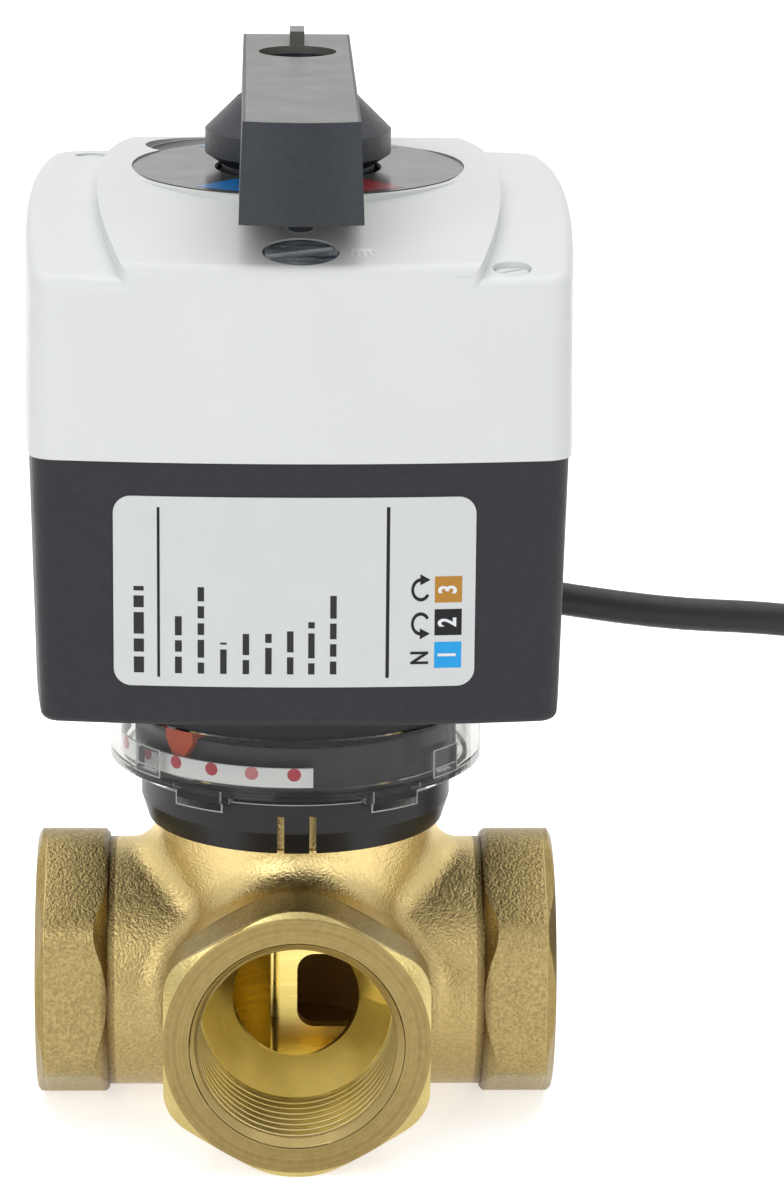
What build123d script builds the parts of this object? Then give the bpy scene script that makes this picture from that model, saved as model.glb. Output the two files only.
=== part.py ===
from build123d import *
from math import acos, asin, atan2, cos, degrees, hypot, pi, radians, sin, sqrt, tan
import os

# Motorised three-way rotary valve, millimetres.
# The model is drawn about the valve's own centre: +X to the right-hand port, -Y to the front port
# and +Z up the rotor axis. It is then moved so that it stands on z = 0 with its box centred.

# ---- valve body: Rp 1 ports
port_reach = 41.0            # valve centre to each port face
hex_flats = 41.0             # spanner size of the port hexagons
hex_crown_r = 14.0           # rounding of the hexagon's top and bottom corners
hex_corner_r = 7.0           # rounding of its four side corners
hex_face_r = 20.35           # turned face inside the chamfer
hex_length = 11.3
branch_r = 19.9              # cast branch behind each hexagon
thread_r = 16.62             # wall of the port bore at the thread's full depth
thread_length = 18.0
bowl_r = 15.0                # mouth of the bowl behind the thread
seat_r = 10.0                # window from each port into the rotor chamber
chamber_r = 17.4
chamber_floor = -15.5
centre_r = 22.0              # upright barrel in the middle of the casting
barrel_floor = -20.8
barrel_edge_r = 5.0
casting_fillet = 5.0
shoulder_z = 25.3            # ledge that carries the adapter ring
neck_r = 21.2
neck_top = 33.0
neck_bore_r = 18.2
neck_bore_floor = 16.0

# ---- rotor, bonnet and seals
rotor_gap = 0.3              # between the rotor and the chamber, all round
rotor_disc = 2.6
rotor_wall = 2.6
rotor_post_x = (-4.0, 0.3)   # upright edge of the flow divider, seen through the front port
rotor_face_y = -9.0          # front of the flow divider
rotor_face_t = 2.4
rotor_window_h = 12.2
rotor_window_r = 2.8
rotor_window_z = -2.1
rotor_sweep = 160.0          # angle covered by the rotor's half-moon wall
stem_r = 5.0
stem_top = 42.0
stem_flat = 4.0              # from the axis to the drive flat
turn_fit = 0.06              # running clearance of every shaft in its hole
press_gap = 0.02             # clearance of a part pressed or clipped into its seat
bonnet_top = 29.8
bonnet_gap = 0.05
seal_wire = 1.9              # sealing ring section
stem_seal_z = (19.5, 24.5)
circlip_t = 1.2
circlip_depth = 0.9

# ---- adapter ring, clear scale ring, band and pointer
adapter_r = 24.5
adapter_foot_r = 23.4
adapter_chamfer_h = 3.5
adapter_top = 34.5
adapter_lip_r = 18.6
skirt_r = (21.9, 23.6)       # black sleeve inside the clear ring
skirt_top = 42.4
slot_w = 1.1
slot_top = 31.6
tongue_w = 3.9
ring_r = 29.5
ring_wall = 1.7
ring_floor_t = 1.5
ring_step_z = 36.0
ring_top = 45.2
ring_tab_deg = 18.0          # width of each lower tab
ring_tab_at = (-120.0, -60.0, 60.0, 120.0)
ring_window_deg = 9.0
ring_window_at = (-142.0, -38.0, 38.0, 142.0)
ring_window_z = (37.2, 40.6)
band_t = 0.3
band_z = (37.4, 40.5)
band_span = (-192.0, -85.0)  # polar angles between which the scale band runs
pointer_angle = -132.0       # polar angle of the pointer, half way along the scale
pointer_w = 5.4
pointer_tip_w = 1.2
pointer_hub_r = 12.5
pointer_t = 1.4
pointer_drop = 4.0

# ---- actuator housing
housing_w = 83.2
housing_front = -56.0
housing_rear = 39.0
front_bulge = 2.9
rear_bulge = 1.7
side_bulge = 2.2
front_corner_r = 4.5
rear_corner_r = 9.0
cover_draft = 0.7            # degrees, upward from the parting line
base_draft = 1.4             # degrees, downward from it
base_bottom = 54.8
parting_z = 95.0
base_inset = 0.4            # the base is this much smaller than the cover at the joint
side_round_h = 7.0           # rounded lower side edges of the base
side_round_w = 2.0
foot_edge_r = 1.3
wall = 2.2
lip_h = 2.4
lip_t = 1.0
lip_gap = 0.12
crown_z = 129.45             # top of the cover's arched middle
crown_y = 4.5
crown_r = 318.0
shoulder_step = 2.3          # the side shoulders lie this much lower
saddle_half = 30.7           # half width of the raised middle
saddle_bulge = 6.4
top_edge_r = 2.0
collar_r = 28.7
collar_inner_r = 23.5
screw_boss_r = 3.4
screw_recess_r = 2.85
screw_recess_depth = 1.3
screw_head_h = 0.9
cover_screw_at = ((30.7, -48.9), (-32.5, 26.4))
cover_screw_r = 1.5
cover_screw_grip = 12.0      # how far the cover screws reach into the base

# ---- dial, handle and selector
dial_r = 25.55
dial_t = 1.0
dial_top = 129.2
dial_gap = 0.1
dial_rim_w = 1.2
notch_r = 13.5               # finger recess behind the dial
notch_at = (-10.5, 21.5)
notch_floor_z = 127.8
cover_hole_r = 12.6
handle_neck_r = 11.8
handle_neck_bottom = 127.4
handle_bottom = 129.9
handle_top = 144.8
handle_front = -55.4
handle_rear = 34.6
handle_w = 17.0
handle_foot_w = 18.1
handle_nose_r = 28.0
handle_wall = 2.2
hub_r = 14.35
hub_band = (131.6, 135.2)
hub_top_r = 9.4
hub_top_z = 140.1
top_plate_t = 1.2
top_plate_rim = 0.35
eye_r = 6.1
eye_y = 15.4
eye_depth = 8.0
fin_w = 2.3
fin_h = 2.2
fin_y = (21.9, 28.3)
selector_y = -48.7
selector_r = 5.3
selector_gap = 0.35
selector_sink = 0.15
selector_t = 2.4
selector_slot_w = 1.3
selector_slot_dir = 19.0
selector_slot_depth = 1.1
selector_stem_r = 3.0
finger_r = 1.2
finger_off = 3.0
selector_turn = 90.0

# ---- rating label
label_w = 53.0
label_z = (61.1, 89.9)
label_x = -0.8
label_corner_r = 2.6
label_t = 0.25

# ---- gear train: every mesh is a twelve-tooth pinion driving a larger wheel
module = 1.0
pinion_teeth = 12
wheel_teeth = 33
output_teeth = 44
tooth_tip = 0.8              # addendum in modules
tooth_root = 1.1             # dedendum in modules
pressure = 20.0
backlash = 0.24
mesh_slack = 0.1             # added to every centre distance
face_w = 4.6
gear_levels = (87.0, 92.6, 98.2)
second_wheel_dir = 225.0     # direction of each gear centre from the one before it
first_wheel_dir = -40.0
motor_dir = 10.0
arbor_r = 1.5
wheel_hub_r = 4.2

# ---- gear frame
lower_plate_z = 84.0
upper_plate_z = 104.0
plate_t = 1.6
plate_gap = 2.0              # between the gear plates and the housing's sides
pillar_y = (-44.0, -9.0, 13.0, 27.0)
pillar_in = (3.5, 4.0, 4.5, 6.0)
pillar_r = 2.4
post_r = 3.0
plate_screw_r = 1.2
shaft_r = 7.0
shaft_top_r = 5.5
shaft_socket_r = 9.0
shaft_bottom = 33.9
bush_wall = 1.4
bush_flange = 1.5

# ---- motor
can_r = 17.0
can_h = 23.0
can_wall = 1.0
coil_r = (11.0, 15.8)
coil_h = 14.0
magnet_r = 10.2
magnet_h = 12.0
motor_screw_off = 14.0
motor_screw_dirs = (-45.0, -135.0)
motor_screw_r = 1.2

# ---- limit switches and circuit board
cam_z = (63.4, 66.8)
cam_t = 3.0
cam_r = 9.6
cam_lobe = 1.6
cam_lobe_deg = 24.0
switch_gap = 0.3
switch_size = (12.8, 5.8, 6.5)
board_z = 60.4
board_t = 1.6
board_x = (-26.5, 25.0)
board_y = (12.6, 33.5)
terminal_size = (15.6, 7.6, 9.6)
terminal_at = (18.2, 24.6)
terminal_step = 5.1
terminal_mouth_z = 3.4
capacitor_size = (18.0, 8.5, 13.0)

# ---- clutch lever, swung by the selector's finger
lever_pivot_x = 20.0
lever_z = 106.2
lever_t = 1.8
lever_w = 4.4
lever_slot_gap = 0.5
lever_pin_r = 1.4

# ---- mains cable: PVC sheath with three cores, dipping a little as it leaves the housing
cable_d = 5.2
cable_exit_y = 4.0
cable_exit_z = 59.2
cable_dip = 10.5             # degrees
bush_r = 3.4
sheath_inside = 11.5         # sheath from the outer wall to its cut end at the clamp
clamp_x = (30.5, 36.5)
clamp_top = 65.4
core_d = 1.5
core_lane_x = 25.3          # the middle core's way along the housing wall
core_lane_step = 1.65
core_length = 16.0
ferrule_d = 1.7
ferrule_length = 6.0
coil_turn_r = (22.0, 27.3)   # centre lines of the inner and outer turns
coil_layers = 6
coil_pitch = 5.3
coil_centre = (115.4, 46.2)  # clear of a pipe run in line with the right-hand port
cable_way = (                # corners of the loose stretch, down to the coil
    (79.0, 3.9, 56.0),
    (97.5, 4.3, 52.4),
    (112.5, 8.0, 42.0),
    (124.5, 14.5, 28.2),
    (133.3, 22.4, 16.4),
    (139.6, 31.6, 9.3),
)
coil_start_dir = -3.0        # where the loose stretch joins the coil's top turn
coil_end_dir = 15.0          # where the sheath ends, lying on the coil

axis_shift = -(housing_front + housing_rear) / 2
stand_height = hex_flats / 2 / cos(radians(30)) - hex_crown_r * (1 / cos(radians(30)) - 1)


def save(name, *solids):
    """Write one node, moved from the valve's centre to the standing frame."""
    placed = [Pos(0, axis_shift, stand_height) * solid for solid in solids]
    export_step(Compound(children=placed) if len(placed) > 1 else placed[0], f"parts/{name}.step")


def rod(radius, low, high, x=0.0, y=0.0):
    """Upright cylinder between two heights."""
    return Pos(x, y, (low + high) / 2) * Cylinder(radius, high - low)


def tube(outer, inner, low, high, x=0.0, y=0.0):
    return rod(outer, low, high, x, y) - rod(inner, low - 1, high + 1, x, y)


def slab(x, y, z):
    """Box between pairs of limits."""
    size = (x[1] - x[0], y[1] - y[0], z[1] - z[0])
    return Pos((x[0] + x[1]) / 2, (y[0] + y[1]) / 2, (z[0] + z[1]) / 2) * Box(*size)


def polar(radius, angle, x=0.0, y=0.0):
    return (x + radius * cos(radians(angle)), y + radius * sin(radians(angle)))


def wedge(radius, start, end, low, high):
    """Upright pie slice between two polar angles, less than a half turn apart."""
    reach = radius / cos(radians((end - start) / 2))
    corners = [(0, 0), polar(reach, start), polar(reach, (start + end) / 2), polar(reach, end)]
    return extrude(Pos(0, 0, low) * make_face(Polyline(*corners, close=True)), high - low)


def turned(points):
    """Solid of revolution about Z from (radius, height) points."""
    outline = Polyline(*[(r, 0, z) for r, z in points], close=True)
    return revolve(make_face(outline), Axis.Z)


# ---------------------------------------------------------------- valve
def port_places():
    """Locations whose own +Z runs out of the right, left and front ports."""
    return [Rot(0, 90, 0), Rot(0, -90, 0), Rot(90, 0, 0)]


def port_hexagon():
    """Spanner hexagon, a corner up, its corners rounded as forged."""
    corner = hex_flats / 2 / cos(radians(30))
    face = make_face(Polyline(*[polar(corner, angle) for angle in range(30, 390, 60)], close=True))
    crowns = [v for v in face.vertices() if abs(v.X) < 1]
    face = fillet(crowns, hex_crown_r)
    corners = [v for v in face.vertices() if abs(v.Y) > corner / 2 - 0.1 and abs(v.X) > hex_flats / 2 - 0.1]
    return fillet(corners, hex_corner_r)


def port_outside():
    """Hexagon of one port, along +Z, with a 30 degree chamfer outside and 45 degrees inside."""
    inner = port_reach - hex_length
    wide = hex_flats * 0.6
    face_drop = (wide - hex_face_r) / sqrt(3)
    inner_drop = wide - hex_flats / 2
    turning = [
        (0, inner), (hex_flats / 2, inner), (wide, inner + inner_drop),
        (wide, port_reach - face_drop), (hex_face_r, port_reach), (0, port_reach),
    ]
    return extrude(Pos(0, 0, inner) * port_hexagon(), hex_length) & turned(turning)


def port_inside():
    """Threaded bore, bowl and seat window of one port, along +Z."""
    bowl_z = port_reach - thread_length
    seat_z = sqrt(chamber_r**2 - seat_r**2) + 3.4
    bowl = [(0, seat_z - 8), (seat_r, seat_z - 8), (seat_r, seat_z), (bowl_r, bowl_z), (0, bowl_z)]
    return turned(bowl) + rod(thread_r, bowl_z, port_reach + 1)


def casting():
    """Upright barrel and the three branches, blended where they meet."""
    barrel = rod(centre_r, barrel_floor, shoulder_z)
    barrel = fillet(barrel.edges().sort_by(Axis.Z)[:1], barrel_edge_r)
    for place in port_places():
        barrel += place * rod(branch_r, 0, port_reach - hex_length + 0.5)
    room = port_reach - hex_length - branch_r      # of a branch, outside the barrel's corner
    radius = min(casting_fillet, 0.55 * room)
    return fillet([edge for edge in barrel.edges() if branch_joint(edge)], radius)


def branch_joint(edge):
    """Whether an edge lies between the barrel and a branch or between two branches."""
    at = edge.center()
    close = max(abs(at.X), abs(at.Y)) < port_reach - hex_length - 2 and at.Z < shoulder_z - 0.5
    return close and hypot(at.X, at.Y) > 8 and edge.geom_type != GeomType.CIRCLE


def valve_body():
    turns = (90, 90, 0)
    body = casting()
    for turn, place in zip(turns, port_places()):
        body += place * (Rot(0, 0, turn) * port_outside())
    body += rod(neck_r, shoulder_z, neck_top)
    body -= rod(chamber_r, chamber_floor, neck_bore_floor + 1)
    body -= rod(neck_bore_r, neck_bore_floor, neck_top + 1)
    body -= rod(neck_bore_r + circlip_depth, bonnet_top, bonnet_top + circlip_t + 0.1)
    for place in port_places():
        body -= place * port_inside()
    return body


def rotor_wall_arc(radius_out, radius_in, low, high):
    """Half-moon wall centred on the rear of the chamber."""
    shell = tube(radius_out, radius_in, low, high)
    half = rotor_sweep / 2
    return shell & (wedge(radius_out, 90 - half, 90, low, high) + wedge(radius_out, 90, 90 + half, low, high))


def valve_rotor():
    outer = chamber_r - rotor_gap
    low, high = chamber_floor + rotor_gap, neck_bore_floor - rotor_gap
    inner = outer - rotor_wall
    body = rod(outer, low, low + rotor_disc) + rod(outer, high - rotor_disc, high)
    body += rotor_wall_arc(outer, inner, low, high)
    edge, side = rotor_post_x
    post = slab(rotor_post_x, (rotor_face_y, sqrt(inner**2 - edge**2) + 1), (low, high))
    post = fillet(post.edges().filter_by(Axis.Z).group_by(Axis.Y)[0].sort_by(Axis.X)[:1], 1.6)
    divider = slab((side - 0.5, outer), (rotor_face_y, rotor_face_y + rotor_face_t), (low, high))
    body += (post + divider) & rod(outer - 0.4, low + 1, high - 1)
    window = Rot(90, 0, 0) * fillet(Rectangle(2 * inner, rotor_window_h).vertices(), rotor_window_r)
    body -= extrude(Pos(inner + side, rotor_face_y - 1, rotor_window_z) * window, -rotor_face_t - 2)
    stem = rod(stem_r, high - 0.5, stem_top)
    stem -= slab((stem_flat, stem_r + 1), (-stem_r, stem_r), (shaft_bottom + 0.5, stem_top + 1))
    return body + stem


def bonnet():
    radius = neck_bore_r - bonnet_gap
    body = rod(radius, neck_bore_floor, bonnet_top - 0.05)
    body = chamfer(body.edges().sort_by(Axis.Z)[-1:], 1.0)
    body -= rod(stem_r + turn_fit, 0, bonnet_top + 1)
    groove = seal_wire + 0.3
    for z in stem_seal_z:
        body -= rod(stem_r + seal_wire + 0.1, z - groove / 2, z + groove / 2)
    middle = (neck_bore_floor + bonnet_top) / 2
    body -= tube(radius + 1, radius - seal_wire - 0.1, middle - groove / 2, middle + groove / 2)
    return body


def seal_ring(centre_radius, z):
    """Square-section sealing ring with relieved edges."""
    half = seal_wire / 2
    ring = tube(centre_radius + half, centre_radius - half, z - half, z + half)
    return chamfer(ring.edges().filter_by(GeomType.CIRCLE), seal_wire / 5)


def stem_seals():
    return [seal_ring(stem_r + seal_wire / 2 + turn_fit, z) for z in stem_seal_z]


def bonnet_seal():
    middle = (neck_bore_floor + bonnet_top) / 2
    return seal_ring(neck_bore_r - bonnet_gap - seal_wire / 2 - 0.02, middle)


def bonnet_circlip():
    low = bonnet_top + 0.02
    ring = tube(neck_bore_r + circlip_depth - 0.05, neck_bore_r - 2.2, low, low + circlip_t)
    ring -= wedge(neck_bore_r + 3, 80, 100, low - 1, low + circlip_t + 1)
    for angle in (76, 104):
        x, y = polar(neck_bore_r - 2.8, angle)
        ring += tube(1.7, 0.8, low, low + circlip_t, x, y)
    return ring


# ---------------------------------------------------------------- adapter, scale ring and pointer
def adapter_ring():
    inner = neck_r + press_gap
    profile = [
        (inner, shoulder_z), (adapter_foot_r, shoulder_z),
        (adapter_r, shoulder_z + adapter_chamfer_h), (adapter_r, adapter_top), (skirt_r[1], adapter_top),
        (skirt_r[1], skirt_top), (skirt_r[0], skirt_top), (skirt_r[0], adapter_top),
        (adapter_lip_r, adapter_top), (adapter_lip_r, neck_top), (inner, neck_top),
    ]
    body = turned(profile)
    for side in (-1, 1):
        x = side * (tongue_w + slot_w) / 2
        for front in (-1, 1):
            across = (x - slot_w / 2, x + slot_w / 2)
            cut = slab(across, (neck_r - 2, adapter_r + 1), (shoulder_z - 1, slot_top))
            body -= Rot(0, 0, 90 - 90 * front) * cut
    return body


def scale_ring():
    low = adapter_top
    inner = ring_r - ring_wall
    body = tube(ring_r, skirt_r[1] + press_gap, low, low + ring_floor_t)
    body += tube(ring_r, inner, low, ring_top)
    keep = tube(ring_r + 1, ring_r - 3.0, low - 1, ring_step_z)
    for angle in ring_tab_at:
        half = ring_tab_deg / 2
        keep -= wedge(ring_r + 2, angle - half, angle + half, low - 1, ring_step_z)
    body -= keep
    body += tube(ring_r, ring_r - 3.2, ring_step_z - 0.4, ring_step_z + 0.8)
    for angle in ring_window_at:
        half = ring_window_deg / 2
        body -= wedge(ring_r + 2, angle - half, angle + half, *ring_window_z) - rod(inner - 1, 0, 60)
    return body


def scale_band():
    outer = ring_r - ring_wall - 0.08
    strip = tube(outer, outer - band_t, *band_z)
    middle = sum(band_span) / 2
    keep = wedge(outer, band_span[0], middle, *band_z) + wedge(outer, middle, band_span[1], *band_z)
    return strip & keep


def pointer():
    top = ring_top - 0.5
    low = top - pointer_t
    reach = ring_r - ring_wall - band_t - 0.6
    arm = slab((0, reach), (-pointer_w / 2, pointer_w / 2), (low, top))
    half, tip = pointer_w / 2, pointer_tip_w / 2
    shoulder, end = low - 0.6, low - pointer_drop
    flag = Polyline(
        (-half, top), (-half, shoulder), (-tip, end), (tip, end), (half, shoulder), (half, top), close=True
    )
    nib = Pos(reach - 1.2, 0, 0) * extrude(Plane.YZ * make_face(flag), 1.2)
    hand = (arm + nib) & rod(reach, low - 9, top + 1)
    body = rod(pointer_hub_r, low, top) + Rot(0, 0, pointer_angle) * hand
    return body - rod(shaft_socket_r + press_gap, low - 1, top + 1)


# ---------------------------------------------------------------- housing
def housing_outline(inset=0.0):
    """Plan of the housing: four bowed sides with rounded corners."""
    half = housing_w / 2 - inset
    front, rear = housing_front + inset, housing_rear - inset
    corner_x = half - side_bulge
    front_y, rear_y = front + front_bulge, rear - rear_bulge
    middle_y = (front_y + rear_y) / 2
    sides = [
        ThreePointArc((-corner_x, front_y), (0, front), (corner_x, front_y)),
        ThreePointArc((corner_x, front_y), (half, middle_y), (corner_x, rear_y)),
        ThreePointArc((corner_x, rear_y), (0, rear), (-corner_x, rear_y)),
        ThreePointArc((-corner_x, rear_y), (-half, middle_y), (-corner_x, front_y)),
    ]
    face = make_face(sides)
    face = fillet(face.vertices().sort_by(Axis.Y)[:2], max(front_corner_r - inset, 1.0))
    return fillet(face.vertices().sort_by(Axis.Y)[-2:], max(rear_corner_r - inset, 1.0))


def drafted(inset, wide_z, narrow_z):
    """Housing block between two heights, narrowing away from the first by its draft angle."""
    draft = cover_draft if narrow_z > wide_z else base_draft
    shrink = tan(radians(draft)) * abs(narrow_z - wide_z)
    ends = ((wide_z, inset), (narrow_z, inset + shrink))
    return loft([Pos(0, 0, z) * housing_outline(edge) for z, edge in sorted(ends)])


def arch(top):
    """Everything below the cover's arched top."""
    return Pos(0, crown_y, top - crown_r) * (Rot(0, 90, 0) * Cylinder(crown_r, housing_w + 20))


def saddle_plan(inset):
    """Plan of the raised middle: bowed left and right edges."""
    half = saddle_half - inset
    end = half - saddle_bulge
    middle = (housing_front + housing_rear) / 2
    low, high = housing_front - 5, housing_rear + 5
    right = ThreePointArc((end, low), (half, middle), (end, high))
    left = ThreePointArc((-end, high), (-half, middle), (-end, low))
    return make_face([right, Line((end, high), (-end, high)), left, Line((-end, low), (end, low))])


def cover_form(inset, low):
    """The cover's outer form, or its hollow when inset by the wall."""
    block = drafted(inset, parting_z, crown_z + 5)
    if low < parting_z:
        block += drafted(inset, parting_z, low)
    shoulders = block & arch(crown_z - shoulder_step - inset)
    ridge = extrude(Pos(0, 0, low) * saddle_plan(inset), crown_z + 5 - low)
    return shoulders + (block & ridge & arch(crown_z - inset))


def crown_height(y):
    return crown_z - crown_r + sqrt(crown_r**2 - (y - crown_y) ** 2)


def selector_place():
    """Frame of the selector: on the cover's surface and square to it."""
    return Pos(0, selector_y, crown_height(selector_y)) * Rot(selector_tilt(), 0, 0)


def screw_seat_z(y):
    """Floor of a cover screw's recess."""
    return crown_height(y) - shoulder_step - screw_recess_depth


def housing_cover():
    body = cover_form(0.0, parting_z)
    rim = [e for e in body.edges() if e.center().Z > crown_z - 12 and outer_edge(e)]
    body = fillet(rim, top_edge_r)
    hollow = cover_form(wall, parting_z - 1)
    boss = rod(dial_r + dial_gap + dial_rim_w, dial_top - dial_t - 3, dial_top - 0.15)
    body += boss - arch(crown_z - 1.0)
    for x, y in cover_screw_at:
        hollow -= rod(screw_boss_r, parting_z - 2, crown_z, x, y)
    hollow -= selector_place() * (Pos(0, 0, -6) * Cylinder(selector_r + 1.6, 10))
    body -= hollow
    body -= rod(dial_r + dial_gap, dial_top - dial_t, dial_top + 5)
    body -= rod(cover_hole_r, parting_z, crown_z + 5)
    body -= rod(notch_r, notch_floor_z, dial_top + 5, *notch_at)
    seat = 3 + selector_t + selector_sink
    body -= selector_place() * (Pos(0, 0, 3) * Cylinder(selector_r + selector_gap, 2 * seat))
    body -= selector_place() * (Pos(0, 0, -10) * Cylinder(selector_stem_r + selector_gap, 20))
    for x, y in cover_screw_at:
        body -= rod(screw_recess_r, screw_seat_z(y), crown_z + 5, x, y)
        body -= rod(cover_screw_r + 0.1, parting_z - 3, crown_z, x, y)
    return body


def outer_edge(edge):
    """Whether an edge lies along the outer rim of the cover's top."""
    point = edge.center()
    plan = housing_outline(2.2)
    return not plan.face().is_inside(Vector(point.X, point.Y, 0))


def base_form(inset, low):
    """The base's outer form, or its hollow when inset by the wall."""
    block = drafted(inset + base_inset, parting_z, low)
    if inset == 0.0:
        block = fillet(block.faces().sort_by(Axis.Z)[0].edges(), foot_edge_r)
    half = housing_w / 2 - inset - base_inset
    foot = base_bottom + inset
    turn = foot + side_round_h
    drop = tan(radians(base_draft)) * (parting_z - turn)
    bulge_r = (side_round_h**2 + side_round_w**2) / (2 * side_round_w)
    mid = side_round_h / 2
    mid_in = bulge_r - sqrt(bulge_r**2 - mid**2)
    right = [(half - drop, turn), (half - drop - mid_in, turn - mid), (half - drop - side_round_w, foot)]
    left = [(-x, z) for x, z in reversed(right)]
    top_r, top_l = (half + 1, parting_z + 1), (-half - 1, parting_z + 1)
    wide_r, wide_l = (half + 1, turn), (-half - 1, turn)
    edge = [
        Line(top_l, top_r), Line(top_r, wide_r), Line(wide_r, right[0]), ThreePointArc(*right),
        Line(right[2], left[0]), ThreePointArc(*left), Line(left[2], wide_l), Line(wide_l, top_l),
    ]
    section = extrude(Rot(90, 0, 0) * make_face(edge), housing_w + 40, both=True)
    return block & section


def plate_side():
    """Half width of the gear plates, from the housing's inner side."""
    return housing_w / 2 - base_inset - wall - plate_gap


def post_places():
    """Pillars of the gear frame and the posts under them, left and right in turn."""
    return [(side * (plate_side() - inset), y) for side, inset, y in zip((-1, 1, -1, 1), pillar_in, pillar_y)]


def housing_base():
    body = base_form(0.0, base_bottom)
    hollow = base_form(wall, base_bottom + wall)
    for x, y in post_places():
        hollow -= rod(post_r, base_bottom, lower_plate_z, x, y)
    for x, y in cover_screw_at:
        hollow -= rod(screw_boss_r, base_bottom, parting_z + 1, x, y)
    for x in (board_x[0] + 4, board_x[1] - 4):
        for y in (board_y[0] + 3, board_y[1] - 3):
            hollow -= rod(2.2, base_bottom, board_z, x, y)
    hollow -= slab(clamp_x, clamp_y(), (base_bottom, clamp_floor()))
    body -= hollow
    lip = extrude(Pos(0, 0, parting_z - 4) * housing_outline(wall + lip_gap), 4 + lip_h)
    lip -= extrude(Pos(0, 0, parting_z - 5) * housing_outline(wall + lip_gap + lip_t), 10)
    for x, y in cover_screw_at:
        lip -= rod(screw_boss_r + 0.4, parting_z, parting_z + 9, x, y)
    body += lip
    body += tube(collar_r, collar_inner_r, ring_top, base_bottom + 0.5)
    body -= rod(shaft_r + bush_wall, ring_top, base_bottom + wall + 1)
    body -= wall_hole()
    for x, y in post_places():
        body -= rod(plate_screw_r + 0.05, lower_plate_z - 9, lower_plate_z + 1, x, y)
    for x, y in cover_screw_at:
        body -= rod(cover_screw_r + 0.05, parting_z - cover_screw_grip, parting_z + 5, x, y)
    return body - rod(0.9, base_bottom + 1.0, clamp_floor() + 1, *clamp_screw_at()) \
        - round_cable(cable_d / 2 + press_gap, -sheath_inside - 1, 10)


def cover_screws():
    screws = []
    for x, y in cover_screw_at:
        seat = screw_seat_z(y)
        head = rod(screw_recess_r - 0.2, seat, seat + screw_head_h, x, y)
        head = chamfer(head.edges().sort_by(Axis.Z)[-1:], 0.3)
        head -= Pos(x, y, seat + screw_head_h) * (Rot(0, 0, 40) * Box(4, 0.8, 1.0))
        screws.append(head + rod(cover_screw_r, parting_z - cover_screw_grip + 0.5, seat + 0.2, x, y))
    return screws


def label():
    skin = drafted(base_inset - label_t, parting_z, base_bottom)
    skin -= drafted(base_inset - press_gap, parting_z, base_bottom)
    middle = (label_z[0] + label_z[1]) / 2
    plate = RectangleRounded(label_w, label_z[1] - label_z[0], label_corner_r)
    window = extrude(Pos(label_x, 0, middle) * (Rot(90, 0, 0) * plate), 90)
    return skin & window


# ---------------------------------------------------------------- dial, handle and selector
def scale_dial():
    low = dial_top - dial_t
    ring = tube(dial_r, cover_hole_r, low, dial_top)
    return chamfer(ring.edges().filter_by(GeomType.CIRCLE).group_by(Axis.Z)[-1][-1:], 0.3)


def handle_bar():
    """Lever with drafted sides, convex nose and a hub under its middle."""
    nose = sqrt(handle_nose_r**2 - (handle_w / 2) ** 2)
    sag = handle_nose_r - nose

    def plan(width, grow):
        half = width / 2
        front, rear = handle_front - grow, handle_rear + grow
        edge = [
            Line((-half, rear), (-half, front + sag)),
            ThreePointArc((-half, front + sag), (0, front), (half, front + sag)),
            Line((half, front + sag), (half, rear)), Line((half, rear), (-half, rear)),
        ]
        return make_face(edge)

    grow = (handle_foot_w - handle_w) / 2
    low = Pos(0, 0, handle_bottom) * plan(handle_foot_w, grow)
    high = Pos(0, 0, handle_top) * plan(handle_w, 0.0)
    return loft([low, high])


def handle():
    bar = handle_bar()
    under = handle_bottom - 0.01
    for front, rear in ((handle_front + 3.4, -hub_r - 0.2), (hub_r + 0.2, handle_rear - 2.6)):
        inner = handle_foot_w / 2 - handle_wall - 0.4
        ceiling = handle_top - top_plate_t - 2.0 if front < 0 else handle_top - eye_depth - 1.6
        bar -= slab((-inner, inner), (front, rear), (under - 1, ceiling))
    hub = turned([
        (0, handle_neck_bottom), (handle_neck_r, handle_neck_bottom), (handle_neck_r, handle_bottom),
        (hub_r, hub_band[0]), (hub_r, hub_band[1]), (hub_top_r, hub_top_z), (0, hub_top_z),
    ])
    body = bar + hub
    body -= top_plate_form(handle_top - top_plate_t, 0.0)
    body -= rod(eye_r, handle_top - eye_depth, handle_top + 1, 0, eye_y)
    body -= shaft_tip(handle_neck_bottom - 1, shaft_tip_top() + 0.3, press_gap)
    body -= rod(2.1, handle_neck_bottom, handle_top, 0, 0)
    body -= rod(3.8, screw_head_z(), handle_top, 0, 0)
    return body


def screw_head_z():
    """Floor of the handle screw's recess, under the top plate."""
    return handle_top - top_plate_t - 2.6


def shaft_tip_top():
    return handle_top - 6.5


def shaft_tip(low, high, gap):
    """Top of the output shaft, with two flats that drive the handle."""
    tip = rod(shaft_top_r + gap, low, high)
    return tip & slab((-4.3 - gap, 4.3 + gap), (-9, 9), (low, high))


def top_plate_form(low, gap):
    inset = top_plate_rim + gap
    half = handle_w / 2 - inset
    sag = handle_nose_r - sqrt(handle_nose_r**2 - half**2)
    front, rear = handle_front + inset, handle_rear - inset
    edge = [
        Line((-half, rear), (-half, front + sag)),
        ThreePointArc((-half, front + sag), (0, front), (half, front + sag)),
        Line((half, front + sag), (half, rear)), Line((half, rear), (-half, rear)),
    ]
    return extrude(Pos(0, 0, low) * make_face(edge), handle_top - low + (1 if gap == 0.0 else 0))


def handle_top_plate():
    plate = top_plate_form(handle_top - top_plate_t, 0.03)
    plate -= rod(eye_r, handle_top - 9, handle_top + 1, 0, eye_y)
    return plate + slab((-fin_w / 2, fin_w / 2), fin_y, (handle_top - 0.5, handle_top + fin_h))


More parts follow.
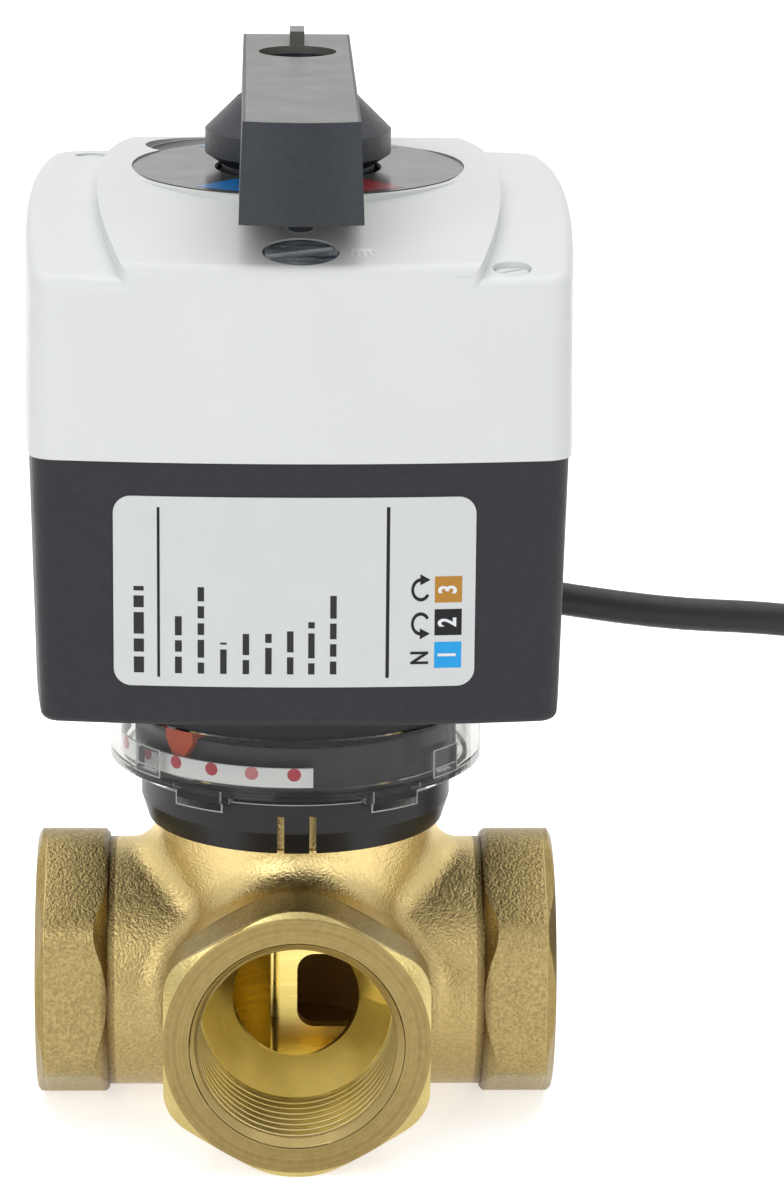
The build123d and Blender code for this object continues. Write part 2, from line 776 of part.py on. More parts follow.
def handle_screw():
    low = screw_head_z()
    head = rod(3.5, low, low + 2.2) - Pos(0, 0, low + 2.2) * Box(8, 1.0, 2.0)
    return head + rod(2.0, shaft_tip_top() - 9, low + 0.2)


def selector_button():
    """Slotted head, stem and the eccentric finger that swings the clutch lever."""
    place = selector_place()
    top = -selector_sink
    head = Pos(0, 0, top - selector_t / 2) * Cylinder(selector_r, selector_t)
    slot = Box(2 * selector_r + 2, selector_slot_w, 2 * selector_slot_depth)
    head -= Pos(0, 0, top) * (Rot(0, 0, selector_slot_dir) * slot)
    deep = top - selector_t
    stem_end = -13.5
    stem = Pos(0, 0, (deep + stem_end) / 2) * Cylinder(selector_stem_r, deep - stem_end + 0.2)
    web = Pos(0, 0, stem_end - 0.6) * Cylinder(finger_off + finger_r + 0.4, 1.6)
    body = head + stem + web
    start = polar(finger_off, 180 - selector_turn / 2)
    reach = (crown_height(selector_y) - lever_z) / cos(radians(selector_tilt())) - 0.9
    finger = Pos(start[0], start[1], -(reach + 13) / 2) * Cylinder(finger_r, reach - 13)
    return place * (body + finger)


def selector_tilt():
    return degrees(asin((crown_y - selector_y) / crown_r))


# ---------------------------------------------------------------- gear train
def centre_of(origin, teeth, direction):
    distance = module * (teeth + pinion_teeth) / 2 + mesh_slack
    return polar(distance, direction, *origin)


output_at = (0.0, 0.0)
second_at = centre_of(output_at, output_teeth, second_wheel_dir)
first_at = centre_of(second_at, wheel_teeth, first_wheel_dir)
motor_at = centre_of(first_at, wheel_teeth, motor_dir)


def tooth_points(teeth):
    """Half tooth from root to tip: (radius, half angle) on an involute flank."""
    pitch_r = module * teeth / 2
    base_r = pitch_r * cos(radians(pressure))
    tip_r, root_r = pitch_r + tooth_tip * module, pitch_r - tooth_root * module
    half_pitch = pi / (2 * teeth) - backlash / (4 * pitch_r)
    inv = tan(radians(pressure)) - radians(pressure)

    def half_angle(radius):
        local = acos(min(1.0, base_r / radius))
        return half_pitch + inv - (tan(local) - local)

    flank = [max(base_r, root_r + 0.05), pitch_r, tip_r]
    return [(root_r, half_angle(flank[0]))] + [(r, half_angle(r)) for r in flank]


def gear(teeth, tooth_at, low, high, x, y, bore):
    """Spur gear with one tooth centred on the polar angle tooth_at."""
    half = tooth_points(teeth)
    points = []
    for number in range(teeth):
        middle = radians(tooth_at) + 2 * pi * number / teeth
        for radius, angle in half:
            points.append((radius * cos(middle - angle), radius * sin(middle - angle)))
        for radius, angle in reversed(half):
            points.append((radius * cos(middle + angle), radius * sin(middle + angle)))
    disc = extrude(make_face(Polyline(*points, close=True)), high - low)
    return Pos(x, y, low) * disc - rod(bore, low - 1, high + 1, x, y)


def meshing(tooth_at, driver, driven, driver_teeth, driven_teeth):
    """Angle of a tooth on the driven gear that falls in a gap of the driver."""
    line = degrees(atan2(driven[1] - driver[1], driven[0] - driver[0]))
    phase = (line - tooth_at) / (360 / driver_teeth)
    return line + 180 + (phase - 0.5) * 360 / driven_teeth


def output_gear():
    low = gear_levels[0]
    body = gear(output_teeth, 0.0, low, low + face_w, 0, 0, shaft_r + press_gap)
    for angle in range(30, 390, 60):
        x, y = polar(14.6, angle)
        body -= rod(3.4, low - 1, low + face_w + 1, x, y)
    return body


def compound_gear(at, pinion_low, wheel_low, pinion_phase, wheel_phase):
    pinion = gear(pinion_teeth, pinion_phase, pinion_low, pinion_low + face_w, *at, arbor_r + turn_fit)
    wheel = gear(wheel_teeth, wheel_phase, wheel_low, wheel_low + face_w, *at, arbor_r + turn_fit)
    hub = tube(wheel_hub_r, arbor_r + turn_fit, pinion_low + face_w - 0.1, wheel_low + 0.1, *at)
    for angle in range(0, 360, 72):
        x, y = polar(10.6, angle, *at)
        wheel -= rod(2.8, wheel_low - 1, wheel_low + face_w + 1, x, y)
    low_end, high_end = lower_plate_z + plate_t + 0.3, upper_plate_z - 0.3
    collar = tube(2.6, arbor_r + turn_fit, low_end, pinion_low + 0.1, *at)
    top = tube(2.6, arbor_r + turn_fit, wheel_low + face_w - 0.1, high_end, *at)
    return pinion + wheel + hub + collar + top


def second_gear():
    phase = meshing(0.0, output_at, second_at, output_teeth, pinion_teeth)
    return compound_gear(second_at, gear_levels[0], gear_levels[1], phase, 0.0)


def first_gear():
    phase = meshing(0.0, second_at, first_at, wheel_teeth, pinion_teeth)
    return compound_gear(first_at, gear_levels[1], gear_levels[2], phase, 0.0)


def motor_pinion():
    phase = meshing(0.0, first_at, motor_at, wheel_teeth, pinion_teeth)
    low = gear_levels[2]
    return gear(pinion_teeth, phase, low, low + face_w, *motor_at, arbor_r + press_gap)


def output_shaft():
    body = rod(shaft_socket_r, shaft_bottom, ring_top) + rod(shaft_r, ring_top - 0.5, handle_neck_bottom - 6)
    body += rod(shaft_top_r, handle_neck_bottom - 6.5, handle_neck_bottom)
    body += shaft_tip(handle_neck_bottom - 0.5, shaft_tip_top(), 0.0)
    socket = rod(stem_r + 0.05, shaft_bottom - 1, stem_top + 0.4)
    flat = stem_flat + 0.05
    socket -= slab((flat, stem_r + 2), (-stem_r - 1, stem_r + 1), (shaft_bottom + 0.6, stem_top + 1))
    body -= socket
    return body - rod(2.0 + press_gap, shaft_tip_top() - 9.5, shaft_tip_top() + 1)


def limit_cams():
    cams = []
    for level, centre in zip(cam_z, (90 + 45, 90 - 45)):
        ring = rod(cam_r, level, level + cam_t)
        half = cam_lobe_deg / 2
        lobe = wedge(cam_r + 5, centre - half, centre + half, level, level + cam_t)
        ring += lobe & rod(cam_r + cam_lobe, level, level + cam_t)
        cams.append(ring - rod(shaft_r + press_gap, level - 1, level + cam_t + 1))
    return cams


def gear_arbors():
    return [rod(arbor_r, lower_plate_z, upper_plate_z + plate_t, *at) for at in (second_at, first_at)]


# ---------------------------------------------------------------- gear frame
def plate_outline():
    """Plan of both gear plates, its right front corner cut away for the selector's stem and lever."""
    side = plate_side()
    front = housing_front + wall + plate_gap
    edge = [
        (-side, front + 6), (-20, front), (24, front), (27, -40), (side, -36), (side, 27), (side - 3, 31),
        (-side, 19),
    ]
    return make_face(Polyline(*edge, close=True))


def gear_plate(low):
    plate = extrude(Pos(0, 0, low) * plate_outline(), plate_t)
    for x, y in post_places():
        plate -= rod(plate_screw_r + 0.1, low - 1, low + plate_t + 1, x, y)
    for at in (second_at, first_at):
        plate -= rod(arbor_r + press_gap, low - 1, low + plate_t + 1, *at)
    return plate - rod(shaft_r + bush_wall, low - 1, low + plate_t + 1)


def lower_gear_plate():
    plate = gear_plate(lower_plate_z)
    plate -= rod(3.0, lower_plate_z - 1, lower_plate_z + plate_t + 1, *motor_at)
    for x, y in motor_screw_places():
        plate -= rod(motor_screw_r + 0.05, lower_plate_z - 1, lower_plate_z + plate_t + 1, x, y)
    return plate


def upper_gear_plate():
    plate = gear_plate(upper_plate_z)
    plate -= rod(3.0, upper_plate_z - 1, upper_plate_z + plate_t + 1, *motor_at)
    return plate - rod(lever_pin_r + press_gap, upper_plate_z - 1, upper_plate_z + 4, *lever_pivot())


def plate_pillars():
    low, high = lower_plate_z + plate_t, upper_plate_z
    return [tube(pillar_r, plate_screw_r + 0.1, low, high, x, y) for x, y in post_places()]


def plate_screws():
    seat = upper_plate_z + plate_t
    screws = []
    for x, y in post_places():
        head = rod(2.3, seat, seat + 1.7, x, y) - Pos(x, y, seat + 1.7) * Box(5, 0.7, 1.4)
        screws.append(head + rod(plate_screw_r, lower_plate_z - 8.5, seat + 0.2, x, y))
    return screws


def flanged_bush(low, high, flange_z):
    inner = shaft_r + turn_fit
    outer = inner + bush_wall - turn_fit - press_gap
    body = tube(outer, inner, low, high)
    return body + tube(outer + bush_flange, inner, *sorted((flange_z, flange_z + 1.0)))


def shaft_bushes():
    base = flanged_bush(base_bottom, base_bottom + wall + 1.0, base_bottom + wall)
    lower = flanged_bush(lower_plate_z - 1.0, lower_plate_z + plate_t, lower_plate_z - 1.0)
    upper = flanged_bush(upper_plate_z, upper_plate_z + plate_t + 1.0, upper_plate_z + plate_t)
    return [base, lower, upper]


# ---------------------------------------------------------------- motor
def motor_screw_places():
    return [polar(motor_screw_off, angle, *motor_at) for angle in motor_screw_dirs]


def motor_can():
    high = lower_plate_z
    low = high - can_h
    body = rod(can_r, low, high, *motor_at)
    body = fillet(body.edges().sort_by(Axis.Z)[:1], 1.5)
    body -= rod(coil_r[1] + 0.2, low + can_wall, high - 3.0, *motor_at)
    body -= rod(arbor_r + turn_fit, low + 0.5, high + 1, *motor_at)
    for x, y in motor_screw_places():
        body -= rod(motor_screw_r + 0.03, high - 2.6, high + 1, x, y)
    return body


def coil_limits():
    middle = lower_plate_z - can_h / 2 - 0.5
    return middle - coil_h / 2, middle + coil_h / 2


def motor_coil():
    low, high = coil_limits()
    body = tube(coil_r[1], coil_r[0], low, high, *motor_at)
    seat = lower_plate_z - can_h + can_wall
    return body + tube(coil_r[1], coil_r[1] - 2.0, seat, low + 0.1, *motor_at)


def motor_rotor():
    low, high = coil_limits()
    middle = (low + high) / 2
    magnet = rod(magnet_r, middle - magnet_h / 2, middle + magnet_h / 2, *motor_at)
    return magnet + rod(arbor_r, lower_plate_z - can_h + 0.8, gear_levels[2] + face_w + 0.4, *motor_at)


def motor_screws():
    seat = lower_plate_z + plate_t
    screws = []
    for x, y in motor_screw_places():
        head = rod(2.2, seat, seat + 1.2, x, y) - Pos(x, y, seat + 1.2) * Box(5, 0.6, 1.0)
        screws.append(head + rod(motor_screw_r, lower_plate_z - 2.4, seat + 0.2, x, y))
    return screws


# ---------------------------------------------------------------- electrics
def circuit_board():
    board = slab(board_x, board_y, (board_z, board_z + board_t))
    for x in (board_x[0] + 4, board_x[1] - 4):
        for y in (board_y[0] + 3, board_y[1] - 3):
            board -= rod(1.1, board_z - 1, board_z + 3, x, y)
    return board


def limit_switches():
    """Two switches on the board, each with a plunger facing its cam."""
    top = board_z + board_t
    length, depth, height = switch_size
    bodies = []
    for side, level in zip((-1, 1), cam_z):
        reach = cam_r + cam_lobe + switch_gap
        x = side * (length / 2 + 0.6)
        block = slab((x - length / 2, x + length / 2), (board_y[0] + 0.6, board_y[0] + 0.6 + depth),
                     (top, top + height + (level - cam_z[0])))
        middle = level + cam_t / 2
        tip_x = side * 3.2
        tip_y = sqrt(reach**2 - tip_x**2)
        plunger = slab((tip_x - 0.8, tip_x + 0.8), (tip_y, board_y[0] + 1), (middle - 0.8, middle + 0.8))
        bodies.append(block + plunger)
    return bodies


def terminal_block():
    """Three-way screw terminal with its mouths towards the cable."""
    length, depth, height = terminal_size
    x, y, low = terminal_centre()
    body = Pos(x, y, low + height / 2) * Box(depth, length, height)
    for number in (-1, 0, 1):
        at_y = y + number * terminal_step
        body -= rod(1.7, low + height - 2.5, low + height + 1, x - 0.8, at_y)
        body -= Pos(x + depth / 2, at_y, low + terminal_mouth_z) * Box(4.0, 3.0, 3.0)
    return body


def motor_capacitor():
    length, depth, height = capacitor_size
    low = board_z + board_t
    place = Pos(board_x[0] + length / 2 + 2, board_y[1] - depth / 2 - 1, low + height / 2)
    return fillet((place * Box(length, depth, height)).edges().filter_by(Axis.Z), 1.0)


# ---------------------------------------------------------------- clutch lever
def lever_pivot():
    return (lever_pivot_x, finger_centre()[1])


def finger_centre():
    """Where the selector's axis crosses the clutch lever."""
    drop = crown_height(selector_y) - lever_z - lever_t / 2
    return (0.0, selector_y + drop * tan(radians(selector_tilt())))


def clutch_lever():
    px, py = lever_pivot()
    high = lever_z + lever_t
    start = polar(finger_off, 180 - selector_turn / 2)
    slot_x, slot_y = start[0], py + start[1]
    eye = rod(lever_w, lever_z, high, px, py)
    arm_length = hypot(px - slot_x, slot_y - py)
    angle = degrees(atan2(slot_y - py, slot_x - px))
    arm = slab((0, arm_length + 4.6), (-lever_w / 2, lever_w / 2), (lever_z, high))
    pad = rod(4.4, lever_z, high, arm_length, 0)
    slot_w = 2 * (finger_r + lever_slot_gap)
    slot = slab((arm_length - 1.6, arm_length + 1.6), (-slot_w / 2, slot_w / 2), (lever_z - 1, high + 1))
    slot += rod(slot_w / 2, lever_z - 1, high + 1, arm_length - 1.6, 0)
    slot += rod(slot_w / 2, lever_z - 1, high + 1, arm_length + 1.6, 0)
    body = eye + Pos(px, py, 0) * (Rot(0, 0, angle) * (arm + pad - slot))
    foot_x, foot_y = first_at
    foot_angle = degrees(atan2(foot_y - py, foot_x - px)) - lever_swing()
    foot_reach = hypot(foot_x - px, foot_y - py)
    tail = slab((0, foot_reach), (-lever_w / 2, lever_w / 2), (lever_z, high))
    tail += rod(3.4, lever_z, high, foot_reach, 0)
    body += Pos(px, py, 0) * (Rot(0, 0, foot_angle) * tail)
    return body - rod(lever_pin_r + turn_fit, lever_z - 1, high + 1, px, py)


def lever_swing():
    """Angle that the lever turns while the selector makes its quarter turn."""
    rise = finger_off * sin(radians(selector_turn / 2))
    along = lever_pivot_x + finger_off * cos(radians(selector_turn / 2))
    return 2 * degrees(atan2(rise, along))


def lever_pin():
    px, py = lever_pivot()
    high = lever_z + lever_t + 0.3
    pin = rod(lever_pin_r, upper_plate_z, high, px, py) + rod(2.6, high, high + 0.9, px, py)
    return pin + rod(2.2, upper_plate_z + plate_t, lever_z - 0.3, px, py)


# ---------------------------------------------------------------- cable
def cable_place(along):
    """Frame on the cable's straight first stretch, +Z outward, at a distance past the wall."""
    return exit_place() * Pos(0, 0, along)


def exit_place():
    return Pos(side_x(), cable_exit_y, cable_exit_z) * Rot(0, 90 + cable_dip, 0)


def side_x():
    """Outer face of the base's right side at the cable."""
    return housing_w / 2 - base_inset - tan(radians(base_draft)) * (parting_z - cable_exit_z) - 0.4


def round_cable(radius, start, end):
    return exit_place() * (Pos(0, 0, (start + end) / 2) * Cylinder(radius, end - start))


def clamp_y():
    return (cable_exit_y - 6.0, cable_exit_y + 8.5)


def clamp_floor():
    """Top of the saddle on the base's floor that the cable is clamped to."""
    return cable_exit_z - 1.6


def clamp_screw_at():
    return (sum(clamp_x) / 2, cable_exit_y + cable_d / 2 + 3.2)


def wall_hole():
    """Hole for the bush through the right-hand wall."""
    low, high = side_x() - wall - 0.6, side_x() + 4
    return Pos((low + high) / 2, cable_exit_y, cable_exit_z) * (Rot(0, 90, 0) * Cylinder(bush_r, high - low))


def cable_bush():
    low, high = side_x() - wall - 0.5, side_x() + 0.3
    place = Pos((low + high) / 2, cable_exit_y, cable_exit_z) * Rot(0, 90, 0)
    return place * Cylinder(bush_r - press_gap, high - low) - round_cable(cable_d / 2 + press_gap, -15, 15)


def cable_clamp():
    low = clamp_floor()
    block = slab(clamp_x, clamp_y(), (low, clamp_top))
    block -= round_cable(cable_d / 2 + press_gap, -30, 15)
    return block - rod(0.9, low - 1, clamp_top + 1, *clamp_screw_at())


def clamp_screws():
    x, y = clamp_screw_at()
    head = rod(1.9, clamp_top, clamp_top + 1.3, x, y) - Pos(x, y, clamp_top + 1.3) * Box(5, 0.6, 1.0)
    return head + rod(0.85, base_bottom + 1.2, clamp_top + 0.2, x, y)


def cable_points():
    """Straight runs of the visible cable, from inside the housing to the coil's top turn."""
    start = cable_place(-sheath_inside).position
    level = cable_place(13.4).position
    x, y = polar(coil_turn_r[1], coil_start_dir, *coil_centre)
    joined = (x, y, coil_top() - coil_pitch / 2)
    return [(start.X, start.Y, start.Z), (level.X, level.Y, level.Z), *cable_way, joined]


def coil_top():
    return coil_layers * coil_pitch - stand_height


def fillet_radii(points):
    """Bend radius at each inner point: tangent arcs use 45 percent of the shorter run."""
    radii = []
    for before, here, after in zip(points, points[1:], points[2:]):
        one, two = Vector(*here) - Vector(*before), Vector(*after) - Vector(*here)
        turn = radians(one.get_angle(two))
        radii.append(0.45 * min(one.length, two.length) / tan(turn / 2))
    return radii


def swept(points, radius, radii=None):
    path = FilletPolyline(*points, radius=radii or fillet_radii(points))
    section = Plane(path @ 0, z_dir=path % 0) * Circle(radius)
    return sweep(section, path)


def mains_cable():
    points = cable_points()
    radii = fillet_radii(points)
    print("cable bend radii", [round(r, 1) for r in radii])
    return swept(points, cable_d / 2, radii)


def cable_coil():
    """Outer form of the coiled spare cable, lying on the floor."""
    inner = coil_turn_r[0] - cable_d / 2
    outer = coil_turn_r[1] + cable_d / 2
    coil = tube(outer, inner, -stand_height, coil_top(), *coil_centre)
    coil = chamfer(coil.edges().filter_by(GeomType.CIRCLE), 1.3)
    points = cable_points()
    return coil - swept(points[-3:], cable_d / 2 + press_gap, fillet_radii(points)[-1:])


def inner_cores():
    """Three cores from the clamped sheath to the terminal block, side by side."""
    x, y, low = terminal_centre()
    mouth_x = x + terminal_size[1] / 2 - 1.3
    z = low + terminal_mouth_z
    cores = []
    for number in (-1, 0, 1):
        lane = core_lane_x + number * core_lane_step
        off = number * 1.55
        start = cable_place(-sheath_inside - press_gap).position + Vector(0, off, 0)
        turn = cable_place(-sheath_inside - (start.X - lane)).position + Vector(0, off, 0)
        end_y = y + number * terminal_step
        points = [(*start,), (*turn,), (turn.X, end_y, z), (mouth_x, end_y, z)]
        cores.append(swept(points, core_d / 2))
    return cores


def terminal_centre():
    """Middle of the terminal block and the height of its foot."""
    return terminal_at[0], terminal_at[1], board_z + board_t


def cable_end():
    """Far end, lying on the coil: the end of the sheath and three cores with crimped ferrules."""
    radius, middle = coil_turn_r[0], cable_d / 2 - 0.1
    z = coil_top() + middle + 0.02
    sheath_end = Plane.XZ * Pos(radius, 0) * Circle(middle)
    sheath_end = revolve(sheath_end, Axis.Z, 45)
    pieces = [Pos(*coil_centre, z) * (Rot(0, 0, coil_end_dir - 45) * sheath_end)]
    x, y = polar(radius, coil_end_dir, *coil_centre)
    bare = core_length - ferrule_length
    for angle in (90, 210, 330):
        across, up = polar(0.92, angle)
        place = Pos(x, y, z) * Rot(0, 0, coil_end_dir + 90) * Pos(0, across, up) * Rot(0, 90, 0)
        core = Pos(0, 0, bare / 2) * Cylinder(core_d / 2, bare)
        ferrule = Pos(0, 0, bare + ferrule_length / 2) * Cylinder(ferrule_d / 2, ferrule_length)
        pieces.append(place * (core + ferrule))
    return pieces


def main():
    os.makedirs("parts", exist_ok=True)
    save("valve_body", valve_body())
    save("valve_rotor", valve_rotor())
    save("bonnet", bonnet())
    save("bonnet_seal", bonnet_seal())
    save("stem_seals", *stem_seals())
    save("bonnet_circlip", bonnet_circlip())
    save("adapter_ring", adapter_ring())
    save("scale_ring", scale_ring())
    save("scale_band", scale_band())
    save("pointer", pointer())
    save("housing_base", housing_base())
    save("housing_cover", housing_cover())
    save("cover_screws", *cover_screws())
    save("rating_label", label())
    save("scale_dial", scale_dial())
    save("handle", handle())
    save("handle_top_plate", handle_top_plate())
    save("handle_screw", handle_screw())
    save("selector_button", selector_button())
    save("clutch_lever", clutch_lever())
    save("lever_pin", lever_pin())
    save("output_gear", output_gear())
    save("intermediate_gear_2", second_gear())
    save("intermediate_gear_1", first_gear())
    save("motor_pinion", motor_pinion())
    save("motor_rotor", motor_rotor())
    save("motor_coil", motor_coil())
    save("motor_can", motor_can())
    save("motor_screws", *motor_screws())
    save("output_shaft", output_shaft())
    save("limit_cams", *limit_cams())
    save("gear_arbors", *gear_arbors())
    save("lower_gear_plate", lower_gear_plate())
    save("upper_gear_plate", upper_gear_plate())
    save("plate_pillars", *plate_pillars())
    save("plate_screws", *plate_screws())
    save("shaft_bushes", *shaft_bushes())
    save("circuit_board", circuit_board())
    save("limit_switches", *limit_switches())
    save("terminal_block", terminal_block())
    save("motor_capacitor", motor_capacitor())
    save("cable_bush", cable_bush())
    save("cable_clamp", cable_clamp())
    save("clamp_screws", clamp_screws())
    save("inner_cores", *inner_cores())
    save("mains_cable", mains_cable())
    save("cable_coil", cable_coil())
    save("cable_end", *cable_end())


main()
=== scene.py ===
import math
import random

import bpy
from mathutils import Matrix, Vector


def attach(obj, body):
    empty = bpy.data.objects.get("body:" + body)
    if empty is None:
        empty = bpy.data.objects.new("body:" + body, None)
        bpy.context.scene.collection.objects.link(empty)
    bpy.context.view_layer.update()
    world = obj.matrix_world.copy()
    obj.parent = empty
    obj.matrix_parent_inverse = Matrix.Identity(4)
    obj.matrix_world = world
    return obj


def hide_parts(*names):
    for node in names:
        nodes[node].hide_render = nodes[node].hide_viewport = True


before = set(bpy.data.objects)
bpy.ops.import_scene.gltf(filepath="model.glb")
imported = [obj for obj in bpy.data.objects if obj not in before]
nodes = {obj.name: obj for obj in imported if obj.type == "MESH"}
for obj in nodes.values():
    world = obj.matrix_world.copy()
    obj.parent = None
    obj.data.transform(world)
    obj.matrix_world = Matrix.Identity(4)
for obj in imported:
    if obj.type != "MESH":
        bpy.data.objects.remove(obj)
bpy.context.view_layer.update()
scene = bpy.context.scene

# All pieces are laid out from the valve's own centre in millimetres, as the CAD is, and moved by
# these amounts into the standing frame.
SHIFT_Y = 8.5
STAND_Z = 21.5056

# ---- sizes of the CAD parts that pieces and materials are laid out from
PORT_REACH = 41.0            # valve centre to each port face
HEX_FACE_R = 20.35           # turned face inside the hexagon's chamfer
THREAD_ROOT = 16.62          # wall of the port bore
SELECTOR_Y = -48.7
SELECTOR_SLOT_DIR = 19.0     # degrees
CROWN_Y, CROWN_Z, CROWN_R = 4.5, 129.45, 318.0    # arch of the cover's top
HOUSING_W, HOUSING_FRONT = 83.2, -56.0
FRONT_BULGE, SIDE_BULGE = 2.9, 2.2
PARTING_Z = 95.0
BASE_INSET, BASE_DRAFT = 0.4, 1.4                 # millimetres and degrees
LABEL_T = 0.25


def at(x, y, z):
    """Millimetres about the valve's centre to metres in the standing frame."""
    return Vector((x / 1000, (y + SHIFT_Y) / 1000, (z + STAND_Z) / 1000))


def polar(radius, angle, x=0.0, y=0.0):
    turn = math.radians(angle)
    return x + radius * math.cos(turn), y + radius * math.sin(turn)


# ---------------------------------------------------------------- camera
def make_camera():
    """Far off, slightly above the valve and nearly level; its angles are in radians."""
    pan, tilt, roll = 0.0305, 0.2517, 0.0092
    right = Vector((math.cos(pan), -math.sin(pan), 0.0))
    ahead = Vector((math.sin(pan) * math.cos(tilt), math.cos(pan) * math.cos(tilt), -math.sin(tilt)))
    up = right.cross(ahead)
    side = right * math.cos(roll) + up * math.sin(roll)
    top = up * math.cos(roll) - right * math.sin(roll)
    data = bpy.data.cameras.new("camera")
    data.sensor_width = 36.0
    data.lens = 144.19
    data.shift_y = -0.0245
    data.clip_end = 20.0
    camera = bpy.data.objects.new("camera", data)
    matrix = Matrix((side, top, -ahead)).transposed().to_4x4()
    matrix.translation = at(-7.32, -734.93, 253.78)
    camera.matrix_world = matrix
    scene.collection.objects.link(camera)
    scene.camera = camera


# ---------------------------------------------------------------- materials
def material(name, color, rough, metallic=0.0, **inputs):
    """Principled material and a handle to its parts; inputs are set on the shader's own sockets."""
    made = bpy.data.materials.new(name)
    made.use_nodes = True
    shader = made.node_tree.nodes["Principled BSDF"]
    shader.inputs["Base Color"].default_value = (*color, 1.0)
    shader.inputs["Roughness"].default_value = rough
    shader.inputs["Metallic"].default_value = metallic
    for key, value in inputs.items():
        shader.inputs[key.replace("_", " ")].default_value = value
    made.diffuse_color = (*color, 1.0)
    return made


def add(made, kind, **values):
    node = made.node_tree.nodes.new(kind)
    for key, value in values.items():
        if hasattr(node, key):
            setattr(node, key, value)
        else:
            node.inputs[key.replace("_", " ")].default_value = value
    return node


def link(made, source, target):
    made.node_tree.links.new(source, target)


def object_coords(made):
    for node in made.node_tree.nodes:
        if node.type == "TEX_COORD":
            return node.outputs["Object"]
    return add(made, "ShaderNodeTexCoord").outputs["Object"]


def noise(made, scale, detail=3.0, stretch=None):
    """Noise factor in object space; stretch scales the coordinates first."""
    coords = object_coords(made)
    if stretch:
        mapping = add(made, "ShaderNodeMapping")
        mapping.inputs["Scale"].default_value = stretch
        link(made, coords, mapping.inputs["Vector"])
        coords = mapping.outputs["Vector"]
    texture = add(made, "ShaderNodeTexNoise", Scale=scale, Detail=detail)
    link(made, coords, texture.inputs["Vector"])
    return texture.outputs["Fac"]


def ramp(made, factor, low, high, first, last):
    """Factor mapped between two values, clamped."""
    node = add(made, "ShaderNodeMapRange")
    node.inputs["From Min"].default_value = low
    node.inputs["From Max"].default_value = high
    node.inputs["To Min"].default_value = first
    node.inputs["To Max"].default_value = last
    link(made, factor, node.inputs["Value"])
    return node.outputs["Result"]


def edge(made, length, low, high, first=0.0, last=1.0):
    """Factor that changes between two lengths in millimetres."""
    return ramp(made, length, low / 1000, high / 1000, first, last)


def math_node(made, operation, a, b=None):
    node = add(made, "ShaderNodeMath", operation=operation)
    for socket, value in zip(node.inputs, (a, b)):
        if value is None:
            continue
        if isinstance(value, (int, float)):
            socket.default_value = value
        else:
            link(made, value, socket)
    return node.outputs[0]


def mix(made, factor, first, last):
    node = add(made, "ShaderNodeMix", data_type="RGBA")
    for socket, value in zip((node.inputs["Factor"], node.inputs[6], node.inputs[7]), (factor, first, last)):
        if isinstance(value, tuple):
            socket.default_value = (*value, 1.0)
        elif isinstance(value, (int, float)):
            socket.default_value = value
        else:
            link(made, value, socket)
    return node.outputs[2]


def bump(made, *layers):
    """Chain of bumps from (height, distance in mm, strength) layers."""
    normal = None
    for height, distance, strength in layers:
        node = add(made, "ShaderNodeBump", Strength=strength, Distance=distance / 1000)
        link(made, height, node.inputs["Height"])
        if normal:
            link(made, normal, node.inputs["Normal"])
        normal = node.outputs["Normal"]
    link(made, normal, made.node_tree.nodes["Principled BSDF"].inputs["Normal"])


def to_shader(made, source, name):
    link(made, source, made.node_tree.nodes["Principled BSDF"].inputs[name])


def plastic(name, color, rough, grain=1500.0, depth=0.02, speckle=0.035, **inputs):
    """Moulded plastic with fine spark-eroded grain; a strong speckle is fine, a weak one broad."""
    made = material(name, color, rough, **inputs)
    fine, broad, strong = 900.0, 45.0, 0.1
    cloud = noise(made, fine if speckle > strong else broad, 2.0)
    paler = tuple(min(1.0, c * (1.0 + speckle) + 0.001) for c in color)
    darker = tuple(c * (1.0 - speckle) for c in color)
    to_shader(made, mix(made, cloud, darker, paler), "Base Color")
    to_shader(made, ramp(made, noise(made, 160.0), 0.3, 0.7, rough - 0.03, rough + 0.04), "Roughness")
    bump(made, (noise(made, grain, 2.0), depth, 0.5), (noise(made, 28.0, 1.0), 0.05, 0.15))
    return made


def metal(name, color, rough):
    """Bare metal with fine drawing marks, long along Z."""
    made = material(name, color, rough, 1.0)
    cloud = noise(made, 60.0, 3.0)
    darker = tuple(c * 0.86 for c in color)
    to_shader(made, mix(made, cloud, darker, color), "Base Color")
    lines = noise(made, 900.0, 2.0, (1.0, 1.0, 0.05))
    to_shader(made, ramp(made, lines, 0.3, 0.7, rough - 0.05, rough + 0.08), "Roughness")
    bump(made, (lines, 0.006, 0.35))
    return made


def separate(made):
    """X, Y and Z of the surface point, in metres in the standing frame."""
    node = add(made, "ShaderNodeSeparateXYZ")
    link(made, object_coords(made), node.inputs[0])
    return node.outputs["X"], node.outputs["Y"], node.outputs["Z"]


def root_of_squares(made, a, b):
    squares = [math_node(made, "MULTIPLY", value, value) for value in (a, b)]
    return math_node(made, "SQRT", math_node(made, "ADD", *squares))


def product(made, *factors):
    result = factors[0]
    for factor in factors[1:]:
        result = math_node(made, "MULTIPLY", result, factor)
    return result


def blend_float(made, factor, first, last):
    node = add(made, "ShaderNodeMix", data_type="FLOAT")
    for number, value in ((0, factor), (2, first), (3, last)):
        link(made, value, node.inputs[number])
    return node.outputs[0]


def beyond(made, length, limit):
    """Whether a length is over a limit in millimetres."""
    return math_node(made, "GREATER_THAN", length, limit / 1000)


def within(made, length, limit):
    """Whether a length is under a limit in millimetres."""
    return math_node(made, "LESS_THAN", length, limit / 1000)


